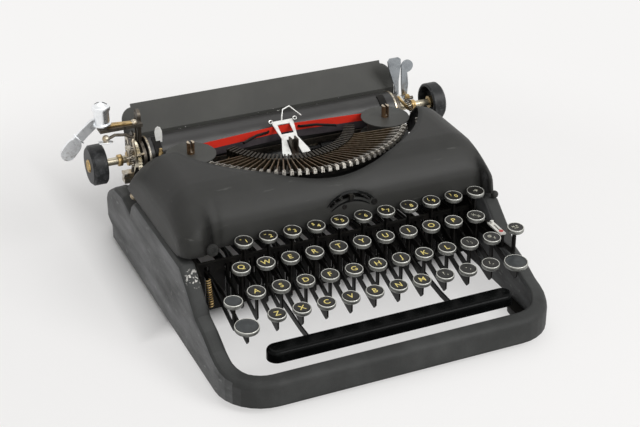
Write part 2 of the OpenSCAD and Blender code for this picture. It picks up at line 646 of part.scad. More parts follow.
module paper_table() color([0.2, 0.2, 0.2]) machine() intersection() {
    plate(0, table_w) {
        a = [platen_y + 16.5, platen_z - 3];
        b = [platen_y + 16.5, platen_z + 12];
        c = [platen_y + 27, table_top];
        strip(a, b, table_t);
        translate(b) circle(d = table_t, $fn = 16);
        strip(b, c, table_t);
    }
    translate([0, platen_y, 0]) union() {
        translate([-table_w / 2, 0, 0]) cube([table_w, 40, table_top - 12]);
        translate([-table_w / 2 + 9, 0, 0]) cube([table_w - 18, 40, table_top + 3]);
        for (s = [-1, 1]) translate([s * (table_w / 2 - 9.5), 0, table_top - 12.2]) rotate([-90, 0, 0])
            cylinder(r = 9.5, h = 40);
    }
}

module feed_rollers() color([0.15, 0.14, 0.14]) machine() {
    shaft(-side_x - side_t - 0.5, side_x + side_t + 0.5, roller_y, roller_z, 1.5);
    for (x = [-88, -24, 40]) shaft(x, x + 48, roller_y, roller_z, 4);
}

lever_y = platen_y + 8.5;
lever_z = platen_z + 2.7;
module paper_release_lever() color([0.8, 0.8, 0.82]) machine() {
    difference() {
        union() {
            shaft(side_x + side_t + 3, side_x + side_t + 7, lever_y, lever_z, 3.6);
            face_plate(lever_y, 1.6) polygon([[115.5, lever_z], [119.5, lever_z], [119, 108], [120.6, 122], [120.4, 127.5],
                [118.5, 129], [110.5, 129], [108.6, 126.5], [109.5, 121], [115.2, 104]]);
        }
        shaft(100, 140, lever_y, lever_z, 1.8);
    }
}

module carriage_release_lever() color([0.8, 0.8, 0.82]) machine() {
    difference() {
        union() {
            shaft(side_x + side_t + 10.5, side_x + side_t + 14.5, lever_y, lever_z, 3.6);
            face_plate(lever_y, 1.6) {
                polygon([[123, lever_z], [127, lever_z], [128, 104], [126.5, 118], [121.5, 118], [121.8, 104]]);
                translate([126.6, 120]) circle(r = 5.4);
                translate([121.5, 112]) square([5, 9]);
            }
        }
        shaft(100, 140, lever_y, lever_z, 1.8);
    }
}

module margin_stop(x) translate([x, rail_y + 14, rail_top + 3.5]) difference() {
    union() {
        translate([-5, -4, -4]) cube([10, 9, 9]);
        translate([-1, -2, 4.9]) cube([2, 6, 7]);
    }
    rotate([0, 90, 0]) cylinder(r = 2.3, h = 20, center = true);
}
module margin_stop_left() color([0.6, 0.6, 0.6]) machine() margin_stop(-72);
module margin_stop_right() color([0.6, 0.6, 0.6]) machine() margin_stop(72);

// Drive parts behind the levers

module mainspring_drum() color([0.35, 0.35, 0.36]) machine() translate([-86, rail_y - 18.6, 29]) rotate([-90, 0, 0])
    difference() {
        union() {
            cylinder(r = 15, h = 1);
            cylinder(r = 13.5, h = 8);
            translate([0, 0, 7]) cylinder(r = 15, h = 1);
        }
        translate([0, 0, -1]) cylinder(r = 2.3, h = 12);
        for (a = [0:60:300]) rotate(a) translate([8.5, 0, -1]) cylinder(r = 2, h = 3);
    }

wheel_n = 20;
module escapement_wheel() color([0.6, 0.55, 0.4]) machine() translate([0, rail_y - 14, 42]) rotate([-90, 0, 0])
    linear_extrude(2) difference() {
        polygon([for (i = [0:2 * wheel_n - 1]) let (r = i % 2 == 0 ? 12.5 : 9.8, a = i * 180 / wheel_n + (i % 2) * 3)
            [r * cos(a), r * sin(a)]]);
        circle(r = 2.3);
    }

module bell() color([0.7, 0.68, 0.6]) machine() {
    translate([62, rail_y - 24, 26]) rotate([90, 0, 0]) difference() {
        intersection() {
            sphere(r = 16);
            cylinder(r = 20, h = 20);
        }
        sphere(r = 14.6);
    }
    translate([62, rail_y - 39.4, 26]) rotate([-90, 0, 0]) cylinder(r = 1.6, h = 29.4);
}

// Keyboard

// A key top with its ring, tilted towards the operator.
module key_top(x, y, z, d) translate([x, y, z]) rotate([key_tilt, 0, 0]) rotate_extrude() polygon([[0, -ring_h],
    [d / 2 - 1, -ring_h], [d / 2, -ring_h + 0.8], [d / 2, -0.5], [d / 2 - 0.5, 0], [d / 2 - 1.1, 0],
    [d / 2 - 1.5, -0.5], [1.6, -0.2], [0, -0.2]]);

// A lever plate from its pointed front end to the fulcrum rod.
module lever_outline(y, top, low) difference() {
    union() {
        polygon([[y - 2, top], [y - 2, low + 3], [y + 0.5, low], [y + 5, low + 1], [y + 5, low + 6], [y + 2, low + 7],
            [y + 2, top]]);
        chain([[y + 3, low + 3], [y + knee_run, knee_z], [fulcrum_y, fulcrum_z]], lever_h);
        translate([fulcrum_y, fulcrum_z]) circle(d = hub_d);
    }
    translate([fulcrum_y, fulcrum_z]) circle(d = fulcrum_d + 0.8);
}

module lever_key(x, y, z, d, shift) {
    key_top(x, y, z, d);
    plate(x + shift, lever_t) lever_outline(y, z - ring_h + 0.5, tip_z);
}

module key(row, i) lever_key(first_x[row] + i * key_pitch, row_y[row], row_z[row], cap_d, 0);

key_ink = [0.12, 0.12, 0.12];
module figure_keys() color(key_ink) machine() for (i = [0:9]) key(0, i);
module punctuation_keys() color(key_ink) machine() {
    key(1, 10);
    key(2, 9);
    key(2, 10);
    for (i = [7:9]) key(3, i);
}
module lower_letter_keys() color(key_ink) machine() for (i = [0:6]) key(3, i);
module key_q() color(key_ink) machine() key(1, 0);
module key_w() color(key_ink) machine() key(1, 1);
module key_e() color(key_ink) machine() key(1, 2);
module key_r() color(key_ink) machine() key(1, 3);
module key_t() color(key_ink) machine() key(1, 4);
module key_y() color(key_ink) machine() key(1, 5);
module key_u() color(key_ink) machine() key(1, 6);
module key_i() color(key_ink) machine() key(1, 7);
module key_o() color(key_ink) machine() key(1, 8);
module key_p() color(key_ink) machine() key(1, 9);
module key_a() color(key_ink) machine() key(2, 0);
module key_s() color(key_ink) machine() key(2, 1);
module key_d() color(key_ink) machine() key(2, 2);
module key_f() color(key_ink) machine() key(2, 3);
module key_g() color(key_ink) machine() key(2, 4);
module key_h() color(key_ink) machine() key(2, 5);
module key_j() color(key_ink) machine() key(2, 6);
module key_k() color(key_ink) machine() key(2, 7);
module key_l() color(key_ink) machine() key(2, 8);

module left_shift_key() color(key_ink) machine() lever_key(shift_x[0], shift_y[0], front_row_z, shift_d, 0);
module right_shift_key() color(key_ink) machine() lever_key(shift_x[1], shift_y[1], front_row_z, shift_d, 0.2);
module shift_lock_key() color(key_ink) machine() lever_key(lock_x, 59, front_row_z + row_rise, cap_d, 0);
module backspace_key() color(key_ink) machine() lever_key(back_x, row_y[0], row_z[0], cap_d, -0.8);

module margin_release_key() color(key_ink) machine() {
    key_top(release_x + 0.8, 54.5, 70, cap_d - 1);
    plate(release_x, lever_t) difference() {
        union() {
            chain([[54.5, 49], [fulcrum_y, fulcrum_z]], lever_h);
            translate([52.5, 47]) square([4, 20.2]);
            translate([fulcrum_y, fulcrum_z]) circle(d = hub_d);
        }
        translate([fulcrum_y, fulcrum_z]) circle(d = fulcrum_d + 0.8);
    }
}

// Half of the space bar's cross-section, with its upper edge rounded.
module bar_half() {
    square([bar_w / 2 - 3, bar_h]);
    square([bar_w / 2, bar_h - 3]);
    translate([bar_w / 2 - 3, bar_h - 3]) circle(r = 3);
}

module space_bar() color([0.06, 0.06, 0.06]) machine() {
    translate([bar_x - bar_len / 2 + bar_w / 2, bar_y, bar_z]) rotate([90, 0, 90])
        linear_extrude(bar_len - bar_w) {
            bar_half();
            mirror([1, 0]) bar_half();
        }
    for (s = [-1, 1]) translate([bar_x + s * (bar_len - bar_w) / 2, bar_y, bar_z]) rotate(s > 0 ? -90 : 90)
        rotate_extrude(angle = 180) bar_half_inner();
    for (x = arm_x) plate(x, lever_t) difference() {
        union() {
            chain([[bar_y, bar_z - 1], [bar_y + 30, 24], [fulcrum_y, fulcrum_z]], lever_h);
            translate([bar_y - 4, bar_z - 2]) square([8, 4]);
            translate([fulcrum_y, fulcrum_z]) circle(d = hub_d);
        }
        translate([fulcrum_y, fulcrum_z]) circle(d = fulcrum_d + 0.8);
    }
}
module bar_half_inner() intersection() {
    bar_half();
    square([bar_w, bar_h + 1]);
}

casing();
rubber_feet();
mechanism_frame();
key_fulcrum_rod();
type_segment();
typebars();
typebar_h();
type_guide();
ribbon_vibrator();
spool_cups();
ribbon();
ribbon_spool_left();
ribbon_spool_right();
hood();
hood_pivots();
touch_lever();
ribbon_selector();
carriage_rails();
carriage_frame();
paper_fingers();
platen();
platen_knobs();
return_lever();
paper_table();
feed_rollers();
paper_release_lever();
carriage_release_lever();
margin_stop_left();
margin_stop_right();
mainspring_drum();
escapement_wheel();
bell();
space_bar();
left_shift_key();
right_shift_key();
shift_lock_key();
backspace_key();
margin_release_key();
figure_keys();
punctuation_keys();
lower_letter_keys();
key_q();
key_w();
key_e();
key_r();
key_t();
key_y();
key_u();
key_i();
key_o();
key_p();
key_a();
key_s();
key_d();
key_f();
key_g();
key_h();
key_j();
key_k();
key_l();
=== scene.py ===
import math

import bmesh
import bpy
from mathutils import Matrix, Vector


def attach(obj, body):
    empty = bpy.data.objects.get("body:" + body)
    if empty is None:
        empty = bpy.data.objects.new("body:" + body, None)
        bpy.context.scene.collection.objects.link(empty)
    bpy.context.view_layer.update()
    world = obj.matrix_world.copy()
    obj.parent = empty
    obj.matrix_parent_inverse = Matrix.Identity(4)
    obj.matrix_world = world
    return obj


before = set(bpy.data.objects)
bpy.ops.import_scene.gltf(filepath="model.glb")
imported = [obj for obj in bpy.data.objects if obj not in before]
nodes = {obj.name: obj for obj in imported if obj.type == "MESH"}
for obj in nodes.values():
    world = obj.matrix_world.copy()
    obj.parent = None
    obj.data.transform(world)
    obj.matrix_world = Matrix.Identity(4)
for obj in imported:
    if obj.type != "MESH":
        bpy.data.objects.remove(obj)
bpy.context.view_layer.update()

# Lengths are in millimetres in the machine's own frame: X from the middle of the casing, Y back from its
# front edge, Z up from the floor. put() turns them into metres in the shared frame.
MM = 0.001
SHIFT = Vector((11.25, -149.0, 0.0))

# Keyboard, its rows counted from the figures down
KEY_PITCH = 19.05
CAP_R = 6.85
SHIFT_R = 9.0
RING_H = 3.4
KEY_TILT = math.radians(5)
FIRST_X = [-80.7, -90.3, -86.5, -78.6]
ROW_Y = [103.0, 84.1, 65.2, 46.3]
ROW_Z = [78.9, 69.0, 59.1, 49.2]

# Type basket, ribbon, platen, the post of the return lever and the middle of the touch lever's slot
BASKET = Vector((3.0, 232.0, 0.0))
RIBBON_MIDDLE_Z = 94.0
SPOOL_TOP = 102.2
PLATEN_Y = 247.0
PLATEN_Z = 87.3
RUBBER_END = 108.4
POST = (-141.5, 243.0)
TOUCH_X = 7.9
TOUCH_Z = 64.7
ALONG_X = Matrix.Rotation(math.pi / 2, 3, "Y")


def put(x, y, z):
    return (Vector((x, y, z)) + SHIFT) * MM


def srgb(r, g, b):
    """A colour as an eye reads it from a screen, 0 to 255, as linear light."""
    line = []
    for part in (r, g, b):
        c = part / 255
        line.append(c / 12.92 if c <= 0.04045 else ((c + 0.055) / 1.055) ** 2.4)
    return (line[0], line[1], line[2], 1.0)


# Node helpers


def feed(tree, part, socket):
    """Sets a plain number or colour on the socket itself and links anything else."""
    if isinstance(part, (int, float, tuple)):
        socket.default_value = part
    else:
        tree.links.new(part, socket)


def maths_node(tree, kind, a, b=None):
    node = tree.nodes.new("ShaderNodeMath")
    node.operation = kind
    feed(tree, a, node.inputs[0])
    if b is not None:
        feed(tree, b, node.inputs[1])
    return node.outputs[0]


def between_node(tree, value, low, high, curve="LINEAR"):
    """0 below low and 1 above high; low may be the larger one."""
    node = tree.nodes.new("ShaderNodeMapRange")
    node.interpolation_type = curve
    node.inputs["From Min"].default_value = low
    node.inputs["From Max"].default_value = high
    tree.links.new(value, node.inputs["Value"])
    return node.outputs[0]


def part_node(tree, vector, index):
    """One part of a vector."""
    node = tree.nodes.new("ShaderNodeSeparateXYZ")
    tree.links.new(vector, node.inputs[0])
    return node.outputs[index]


def length_node(tree, vector):
    node = tree.nodes.new("ShaderNodeVectorMath")
    node.operation = "LENGTH"
    tree.links.new(vector, node.inputs[0])
    return node.outputs["Value"]


# Camera, lamps and floor. Lamps and the floor's distances are in metres in the shared frame.

CAMERA_PLACE = (-414.6, -785.3, 618.8)
CAMERA_AIM = (-4.16, 140.0, 65.57)
CAMERA_TURN = math.radians(-23.92)
LAMP_AIM = (0.0, 0.0, 0.05)
PAPER = srgb(244, 243, 242)
BACKDROP = srgb(246, 245, 244)
WORLD_LIGHT = 0.38

# Where the floor turns from paper into backdrop: by distance, in front of the machine and beside it
FAR = (0.17, 0.5)
IN_FRONT = (-0.005, -0.03)
BESIDE = (0.115, 0.15)
# Share of glow on the floor beside and in front of the machine: painted light that lifts its shadow there.
NEAR_GLOW_SHARE = 0.58


def aim_at(thing, place, aim):
    """Stands a camera or a lamp at a place and points it."""
    thing.location = place
    direction = Vector(aim) - Vector(place)
    thing.rotation_euler = direction.to_track_quat("-Z", "Y").to_euler()
    bpy.context.scene.collection.objects.link(thing)


def add_camera():
    data = bpy.data.cameras.new("camera")
    data.lens = 85.0
    data.sensor_width = 36.0
    data.clip_start = 0.01
    camera = bpy.data.objects.new("camera", data)
    aim_at(camera, put(*CAMERA_PLACE), put(*CAMERA_AIM))
    bpy.context.scene.camera = camera


def add_lamp(name, place, size, power):
    data = bpy.data.lights.new(name, "AREA")
    data.shape = "DISK"
    data.size = size
    data.energy = power
    aim_at(bpy.data.objects.new(name, data), place, LAMP_AIM)


def seen_rays(tree):
    """1 for rays that show the background: straight to the camera, by reflection or through glass."""
    path = tree.nodes.new("ShaderNodeLightPath")
    total = path.outputs["Is Camera Ray"]
    for kind in ("Is Glossy Ray", "Is Transmission Ray"):
        total = maths_node(tree, "MAXIMUM", total, path.outputs[kind])
    return total


def add_world():
    """White light all round, shown as pale paper."""
    world = bpy.data.worlds.new("studio")
    world.use_nodes = True
    tree = world.node_tree
    tree.nodes.clear()
    out = tree.nodes.new("ShaderNodeOutputWorld")
    light = tree.nodes.new("ShaderNodeBackground")
    light.inputs["Color"].default_value = (1.0, 1.0, 1.0, 1.0)
    light.inputs["Strength"].default_value = WORLD_LIGHT
    shown = tree.nodes.new("ShaderNodeBackground")
    shown.inputs["Color"].default_value = PAPER
    shown.inputs["Strength"].default_value = 1.0
    mix = tree.nodes.new("ShaderNodeMixShader")
    tree.links.new(seen_rays(tree), mix.inputs["Fac"])
    tree.links.new(light.outputs[0], mix.inputs[1])
    tree.links.new(shown.outputs[0], mix.inputs[2])
    tree.links.new(mix.outputs[0], out.inputs["Surface"])
    bpy.context.scene.world = world


def floor_paint():
    """Plain paper under the machine, where it takes the shadow; beside and in front of it the paper partly
    glows with the backdrop colour on seen rays, painted light that lifts the shadow there; farther away the
    pale backdrop.
    """
    material = bpy.data.materials.new("floor")
    material.use_nodes = True
    tree = material.node_tree
    shader = tree.nodes["Principled BSDF"]
    shader.inputs["Base Color"].default_value = PAPER
    shader.inputs["Roughness"].default_value = 0.9
    shader.inputs["Specular IOR Level"].default_value = 0.1
    glow = tree.nodes.new("ShaderNodeEmission")
    glow.inputs["Color"].default_value = BACKDROP
    place = tree.nodes.new("ShaderNodeTexCoord").outputs["Object"]
    far = between_node(tree, length_node(tree, place), *FAR, curve="SMOOTHSTEP")
    in_front = between_node(tree, part_node(tree, place, 1), *IN_FRONT)
    sideways = maths_node(tree, "ABSOLUTE", part_node(tree, place, 0))
    clear = maths_node(tree, "MAXIMUM", in_front, between_node(tree, sideways, *BESIDE))
    near = maths_node(tree, "MULTIPLY", clear, NEAR_GLOW_SHARE)
    share = maths_node(tree, "MULTIPLY", seen_rays(tree), maths_node(tree, "MAXIMUM", near, far))
    mix = tree.nodes.new("ShaderNodeMixShader")
    tree.links.new(share, mix.inputs["Fac"])
    tree.links.new(shader.outputs[0], mix.inputs[1])
    tree.links.new(glow.outputs[0], mix.inputs[2])
    tree.links.new(mix.outputs[0], tree.nodes["Material Output"].inputs["Surface"])
    return material


def add_floor():
    """A pale sweep that faces the camera: floor, a wide bend and a wall far behind the machine."""
    mesh = bpy.data.meshes.new("floor")
    wide = 6.0
    near = -3.0
    wall = 2.6
    bend = 0.8
    bend_steps = 12
    tall = 4.0
    line = [(near, 0.0), (wall - bend, 0.0)]
    for i in range(1, bend_steps + 1):
        a = math.pi / 2 * i / bend_steps
        line.append((wall - bend + bend * math.sin(a), bend - bend * math.cos(a)))
    line.append((wall, tall))
    turn = Matrix.Rotation(CAMERA_TURN, 4, "Z")
    verts = []
    for y, z in line:
        verts.append(turn @ Vector((-wide, y, z)))
        verts.append(turn @ Vector((wide, y, z)))
    faces = [(2 * i, 2 * i + 1, 2 * i + 3, 2 * i + 2) for i in range(len(line) - 1)]
    mesh.from_pydata(verts, [], faces)
    floor = bpy.data.objects.new("floor", mesh)
    bpy.context.scene.collection.objects.link(floor)
    mesh.materials.append(floor_paint())
    for face in mesh.polygons:
        face.use_smooth = True


# Materials


class Paint:
    """A Principled material in object space, in layers: masks tint the colour and shift the roughness."""

    def __init__(self, name, colour, rough, metal=0.0, specular=0.5):
        self.material = bpy.data.materials.new(name)
        self.material.use_nodes = True
        self.tree = self.material.node_tree
        self.tree.nodes.clear()
        out = self.add("ShaderNodeOutputMaterial")
        self.shader = self.add("ShaderNodeBsdfPrincipled")
        self.link(self.shader.outputs[0], out.inputs["Surface"])
        self.place = self.add("ShaderNodeTexCoord").outputs["Object"]
        self.shader.inputs["Metallic"].default_value = metal
        self.shader.inputs["Specular IOR Level"].default_value = specular
        self.colour = colour
        self.rough = rough
        self.height = None
        self.round = None

    def add(self, kind):
        return self.tree.nodes.new(kind)

    def link(self, a, b):
        self.tree.links.new(a, b)

    def spread(self, size, stretch=(1.0, 1.0, 1.0)):
        """Object coordinates in units of size millimetres."""
        node = self.add("ShaderNodeMapping")
        for i in range(3):
            node.inputs["Scale"].default_value[i] = stretch[i] / (size * MM)
        self.link(self.place, node.inputs["Vector"])
        return node.outputs[0]

    def noise(self, size, detail=3.0, stretch=(1.0, 1.0, 1.0)):
        node = self.add("ShaderNodeTexNoise")
        node.inputs["Scale"].default_value = 1.0
        node.inputs["Detail"].default_value = detail
        node.inputs["Roughness"].default_value = 0.55
        self.link(self.spread(size, stretch), node.inputs["Vector"])
        return node.outputs[0]

    def cracks(self, size):
        """Distance to the nearest edge of a pattern of cells."""
        node = self.add("ShaderNodeTexVoronoi")
        node.feature = "DISTANCE_TO_EDGE"
        node.inputs["Scale"].default_value = 1.0
        self.link(self.spread(size), node.inputs["Vector"])
        return node.outputs["Distance"]

    def waves(self, size, axis):
        node = self.add("ShaderNodeTexWave")
        node.bands_direction = axis
        node.inputs["Scale"].default_value = 1.0
        self.link(self.spread(size), node.inputs["Vector"])
        return node.outputs["Fac"]

    def between(self, value, low, high):
        return between_node(self.tree, value, low, high)

    def maths(self, kind, a, b=None):
        return maths_node(self.tree, kind, a, b)

    def axis(self, index):
        """One object coordinate in millimetres of the machine's frame."""
        scaled = self.maths("MULTIPLY", part_node(self.tree, self.place, index), 1 / MM)
        return self.maths("SUBTRACT", scaled, SHIFT[index])

    def slope(self, index):
        """One part of the surface's direction."""
        return part_node(self.tree, self.add("ShaderNodeTexCoord").outputs["Normal"], index)

    def far_from(self, point, use=(1.0, 1.0, 1.0)):
        """Distance in millimetres from a point of the machine's frame, with some axes left out."""
        away = self.add("ShaderNodeVectorMath")
        away.operation = "SUBTRACT"
        self.link(self.place, away.inputs[0])
        away.inputs[1].default_value = put(*point)
        scaled = self.add("ShaderNodeVectorMath")
        scaled.operation = "MULTIPLY"
        self.link(away.outputs[0], scaled.inputs[0])
        scaled.inputs[1].default_value = [u / MM for u in use]
        return length_node(self.tree, scaled.outputs[0])

    def tint(self, mask, colour, strength=1.0):
        """Lays a colour over the one so far where the mask is 1."""
        node = self.add("ShaderNodeMix")
        node.data_type = "RGBA"
        self.link(mask if strength == 1.0 else self.maths("MULTIPLY", mask, strength), node.inputs["Factor"])
        feed(self.tree, self.colour, node.inputs["A"])
        node.inputs["B"].default_value = colour
        self.colour = node.outputs["Result"]

    def shift(self, mask, amount):
        """Adds amount times mask to the roughness."""
        self.rough = self.maths("ADD", self.rough, self.maths("MULTIPLY", mask, amount))

    def metal_where(self, mask):
        self.link(mask, self.shader.inputs["Metallic"])

    def bump(self, value, height):
        """Raises the surface by height millimetres times value."""
        scaled = self.maths("MULTIPLY", value, height)
        self.height = scaled if self.height is None else self.maths("ADD", self.height, scaled)

    def soften(self, radius):
        """Rounds the look of edges within radius millimetres."""
        node = self.add("ShaderNodeBevel")
        node.samples = 6
        node.inputs["Radius"].default_value = radius * MM
        self.round = node.outputs[0]

    def done(self):
        feed(self.tree, self.colour, self.shader.inputs["Base Color"])
        feed(self.tree, self.rough, self.shader.inputs["Roughness"])
        node = self.add("ShaderNodeBump")
        node.inputs["Strength"].default_value = 1.0
        node.inputs["Distance"].default_value = MM
        self.link(self.height, node.inputs["Height"])
        if self.round is not None:
            self.link(self.round, node.inputs["Normal"])
        self.link(node.outputs[0], self.shader.inputs["Normal"])
        return self.material


def crackle_paint():
    """Rough dark paint: pale specks painted as glints, sides streaked pale for wear and painted light, bare
    chips beside the keys, and a front rim painted paler for dust and sheen.
    """
    p = Paint("crackle_paint", srgb(42, 43, 42), 0.5, specular=0.3)
    fine = p.cracks(0.9)
    grain = p.noise(0.7, 3.0)
    cloud = p.noise(26, 4.0)
    p.tint(p.between(cloud, 0.45, 0.75), srgb(58, 59, 58))
    # Pale specks on the grain: painted glints of the crinkle finish.
    p.tint(p.between(grain, 0.62, 0.75), srgb(84, 85, 83), 0.5)
    # Faces turned left streaked and scuffed pale: partly wear, partly painted light of a side lit from the
    # left.
    side = p.between(p.slope(0), -0.75, -0.95)
    streak = p.noise(16, 5.0, stretch=(1.0, 0.25, 1.0))
    p.tint(p.maths("MULTIPLY", side, p.between(streak, 0.3, 0.75)), srgb(126, 127, 128))
    scuff = p.maths("MULTIPLY", side, p.between(p.noise(5, 6.0, stretch=(1.0, 0.5, 1.0)), 0.6, 0.72))
    p.tint(scuff, srgb(150, 151, 150), 0.5)
    chipped = p.between(p.far_from((-122.5, 93.0, 64.0)), 9.0, 5.0)
    chip = p.maths("MULTIPLY", chipped, p.between(p.noise(2.2, 4.0), 0.57, 0.59))
    p.tint(chip, srgb(214, 212, 206), 0.9)
    # Faces turned up near the front painted paler: dust, and painted sheen.
    top = p.maths("MULTIPLY", p.between(p.slope(2), 0.8, 0.97), p.between(p.axis(1), 22.0, 45.0))
    p.tint(top, srgb(72, 73, 72), 0.7)
    p.shift(p.between(grain, 0.3, 0.7), 0.12)
    p.bump(p.between(fine, 0.0, 0.35), 0.06)
    p.bump(grain, 0.1)
    p.soften(4.0)
    return p.done()


def hood_paint():
    """Smooth dark paint with faint clouds and a few pale scratches."""
    p = Paint("hood_paint", srgb(36, 36, 34), 0.47, specular=0.3)
    cloud = p.noise(34, 5.0)
    grain = p.noise(0.5, 2.0)
    p.tint(p.between(cloud, 0.4, 0.75), srgb(54, 54, 52), 0.6)
    scratch = p.noise(9, 7.0, stretch=(0.35, 1.0, 2.6))
    p.tint(p.between(scratch, 0.66, 0.74), srgb(112, 112, 108), 0.25)
    p.shift(p.between(cloud, 0.3, 0.7), 0.1)
    p.bump(grain, 0.035)
    p.soften(7.0)
    return p.done()


def table_paint():
    """The hood's paint on the paper table, chipped along its foot."""
    p = Paint("table_paint", srgb(66, 66, 63), 0.55, specular=0.3)
    cloud = p.noise(40, 5.0)
    p.tint(p.between(cloud, 0.4, 0.75), srgb(80, 80, 76), 0.7)
    chips = p.noise(2.6, 3.0)
    low = p.between(p.axis(2), 101.0, 97.0)
    p.tint(p.maths("MULTIPLY", low, p.between(chips, 0.69, 0.72)), srgb(214, 214, 208))
    p.bump(p.noise(0.5, 2.0), 0.03)
    return p.done()


def black_steel():
    """Blackened steel, worn brown and dusty on top."""
    p = Paint("black_steel", srgb(17, 16, 15), 0.42, specular=0.12)
    wear = p.noise(6, 6.0)
    p.tint(p.between(wear, 0.55, 0.75), srgb(44, 41, 37), 0.7)
    dust = p.between(p.slope(2), 0.6, 1.0)
    p.tint(dust, srgb(50, 48, 44), 0.3)
    p.shift(p.between(wear, 0.4, 0.7), 0.15)
    p.bump(p.noise(1.2, 3.0), 0.02)
    return p.done()


def worn_metal(name, colour, rough, grime, brass=None, amount=0.75):
    """Bare metal with grime in spots and, where brass is given, worn through to it in patches."""
    p = Paint(name, colour, rough, metal=1.0)
    spots = p.noise(3.2, 5.0)
    lines = p.noise(1.1, 3.0, stretch=(0.2, 1.0, 1.0))
    if brass is not None:
        p.tint(p.between(p.noise(11, 3.0), 0.42, 0.62), brass, 0.8)
    p.tint(p.between(spots, 0.5, 0.68), grime, amount)
    p.shift(p.between(spots, 0.4, 0.7), 0.25)
    p.shift(p.between(lines, 0.4, 0.6), 0.06)
    p.bump(lines, 0.008)
    return p.done()


def bar_metal():
    """Brownish bars that turn silvery towards their slugs."""
    p = Paint("bar_metal", srgb(122, 106, 84), 0.36, metal=1.0)
    out = p.far_from(BASKET, (1.0, 1.0, 0.0))
    head = p.between(out, 88.0, 93.5)
    p.tint(p.between(p.noise(3.0, 4.0), 0.45, 0.7), srgb(70, 58, 44), 0.8)
    p.tint(head, srgb(196, 192, 184))
    p.tint(p.maths("MULTIPLY", head, p.between(p.noise(1.3, 3.0), 0.5, 0.62)), srgb(70, 62, 54), 0.9)
    p.shift(p.noise(2.0, 3.0), 0.15)
    p.bump(p.noise(0.8, 3.0), 0.02)
    return p.done()


def segment_metal():
    p = Paint("segment_metal", srgb(64, 60, 54), 0.42, metal=1.0)
    p.tint(p.between(p.noise(2.4, 4.0), 0.45, 0.65), srgb(112, 104, 90), 0.6)
    p.tint(p.between(p.slope(2), 0.7, 1.0), srgb(48, 45, 42), 0.5)
    p.bump(p.noise(0.8, 3.0), 0.02)
    return p.done()


def nickel():
    p = Paint("nickel", srgb(226, 226, 222), 0.26, metal=1.0)
    p.tint(p.between(p.noise(4.0, 5.0), 0.52, 0.72), srgb(150, 148, 142), 0.6)
    p.shift(p.noise(2.0, 4.0), 0.14)
    p.bump(p.noise(0.9, 2.0), 0.006)
    return p.done()


def plate_nickel():
    p = Paint("plate_nickel", srgb(228, 228, 224), 0.4, metal=0.35)
    p.tint(p.between(p.noise(5.0, 5.0), 0.55, 0.75), srgb(176, 174, 168), 0.5)
    p.bump(p.noise(0.7, 2.0), 0.01)
    return p.done()


def chrome(name, colour, dull):
    p = Paint(name, colour, 0.2, metal=1.0)
    p.tint(p.between(p.noise(7.0, 5.0), 0.5, 0.72), dull, 0.7)
    p.shift(p.noise(4.0, 4.0), 0.2)
    rust = p.maths("MULTIPLY", p.between(p.axis(2), 112.0, 98.0), p.between(p.noise(3.0, 4.0), 0.45, 0.6))
    p.tint(rust, srgb(104, 84, 64), 0.5)
    p.bump(p.noise(1.4, 3.0), 0.006)
    return p.done()


def rubber():
    p = Paint("rubber", srgb(40, 40, 40), 0.62)
    p.tint(p.between(p.noise(5.0, 5.0), 0.5, 0.7), srgb(66, 66, 65), 0.6)
    p.bump(p.noise(0.9, 3.0), 0.04)
    return p.done()


def roller_rubber():
    """Black rubber between the ends of the platen, bright steel on its shaft."""
    p = Paint("platen_rubber", srgb(34, 33, 32), 0.42)
    p.tint(p.between(p.noise(9.0, 5.0, stretch=(0.3, 1.0, 1.0)), 0.5, 0.7), srgb(58, 57, 55), 0.6)
    steel = p.between(p.maths("ABSOLUTE", p.axis(0)), RUBBER_END, RUBBER_END + 0.2)
    p.tint(steel, srgb(186, 178, 158))
    p.metal_where(steel)
    p.bump(p.noise(0.8, 3.0), 0.02)
    return p.done()


def knob_rubber():
    """Moulded black knobs round a brass hub."""
    p = Paint("knob_rubber", srgb(30, 31, 32), 0.45, specular=0.3)
    p.tint(p.between(p.noise(4.0, 5.0), 0.52, 0.7), srgb(74, 75, 76), 0.6)
    p.tint(p.between(p.noise(1.2, 4.0), 0.66, 0.72), srgb(120, 120, 118), 0.5)
    hub = p.between(p.far_from((0.0, PLATEN_Y, PLATEN_Z), (0.0, 1.0, 1.0)), 5.4, 5.1)
    p.tint(hub, srgb(176, 156, 118))
    p.metal_where(hub)
    p.bump(p.noise(1.6, 3.0), 0.05)
    return p.done()


def spool_metal():
    """Grey spool tops with a brown brass post, its up-facing faces painted pale as a highlight."""
    p = Paint("spool_metal", srgb(62, 62, 59), 0.5, specular=0.3)
    p.tint(p.between(p.noise(12.0, 5.0), 0.45, 0.7), srgb(74, 74, 71), 0.7)
    post = p.between(p.axis(2), SPOOL_TOP + 0.05, SPOOL_TOP + 0.15)
    p.tint(post, srgb(132, 106, 80))
    p.tint(p.maths("MULTIPLY", post, p.between(p.noise(1.6, 4.0), 0.5, 0.65)), srgb(64, 50, 38), 0.85)
    # The post's up-facing faces painted pale: a painted highlight.
    p.tint(p.maths("MULTIPLY", post, p.between(p.slope(2), 0.5, 0.9)), srgb(206, 196, 178), 0.7)
    p.metal_where(post)
    p.bump(p.noise(0.5, 2.0), 0.02)
    return p.done()


def gloss_black():
    p = Paint("gloss_black", srgb(7, 8, 8), 0.2, specular=0.06)
    p.tint(p.between(p.noise(12.0, 5.0), 0.5, 0.75), srgb(20, 21, 21), 0.8)
    p.shift(p.noise(6.0, 5.0), 0.14)
    p.bump(p.noise(1.8, 3.0), 0.006)
    return p.done()


def key_black():
    """Key levers and the body of each key top."""
    p = Paint("key_black", srgb(16, 15, 14), 0.38, specular=0.14)
    p.tint(p.between(p.noise(3.0, 5.0), 0.55, 0.72), srgb(46, 42, 37), 0.6)
    p.bump(p.noise(0.9, 3.0), 0.015)
    return p.done()


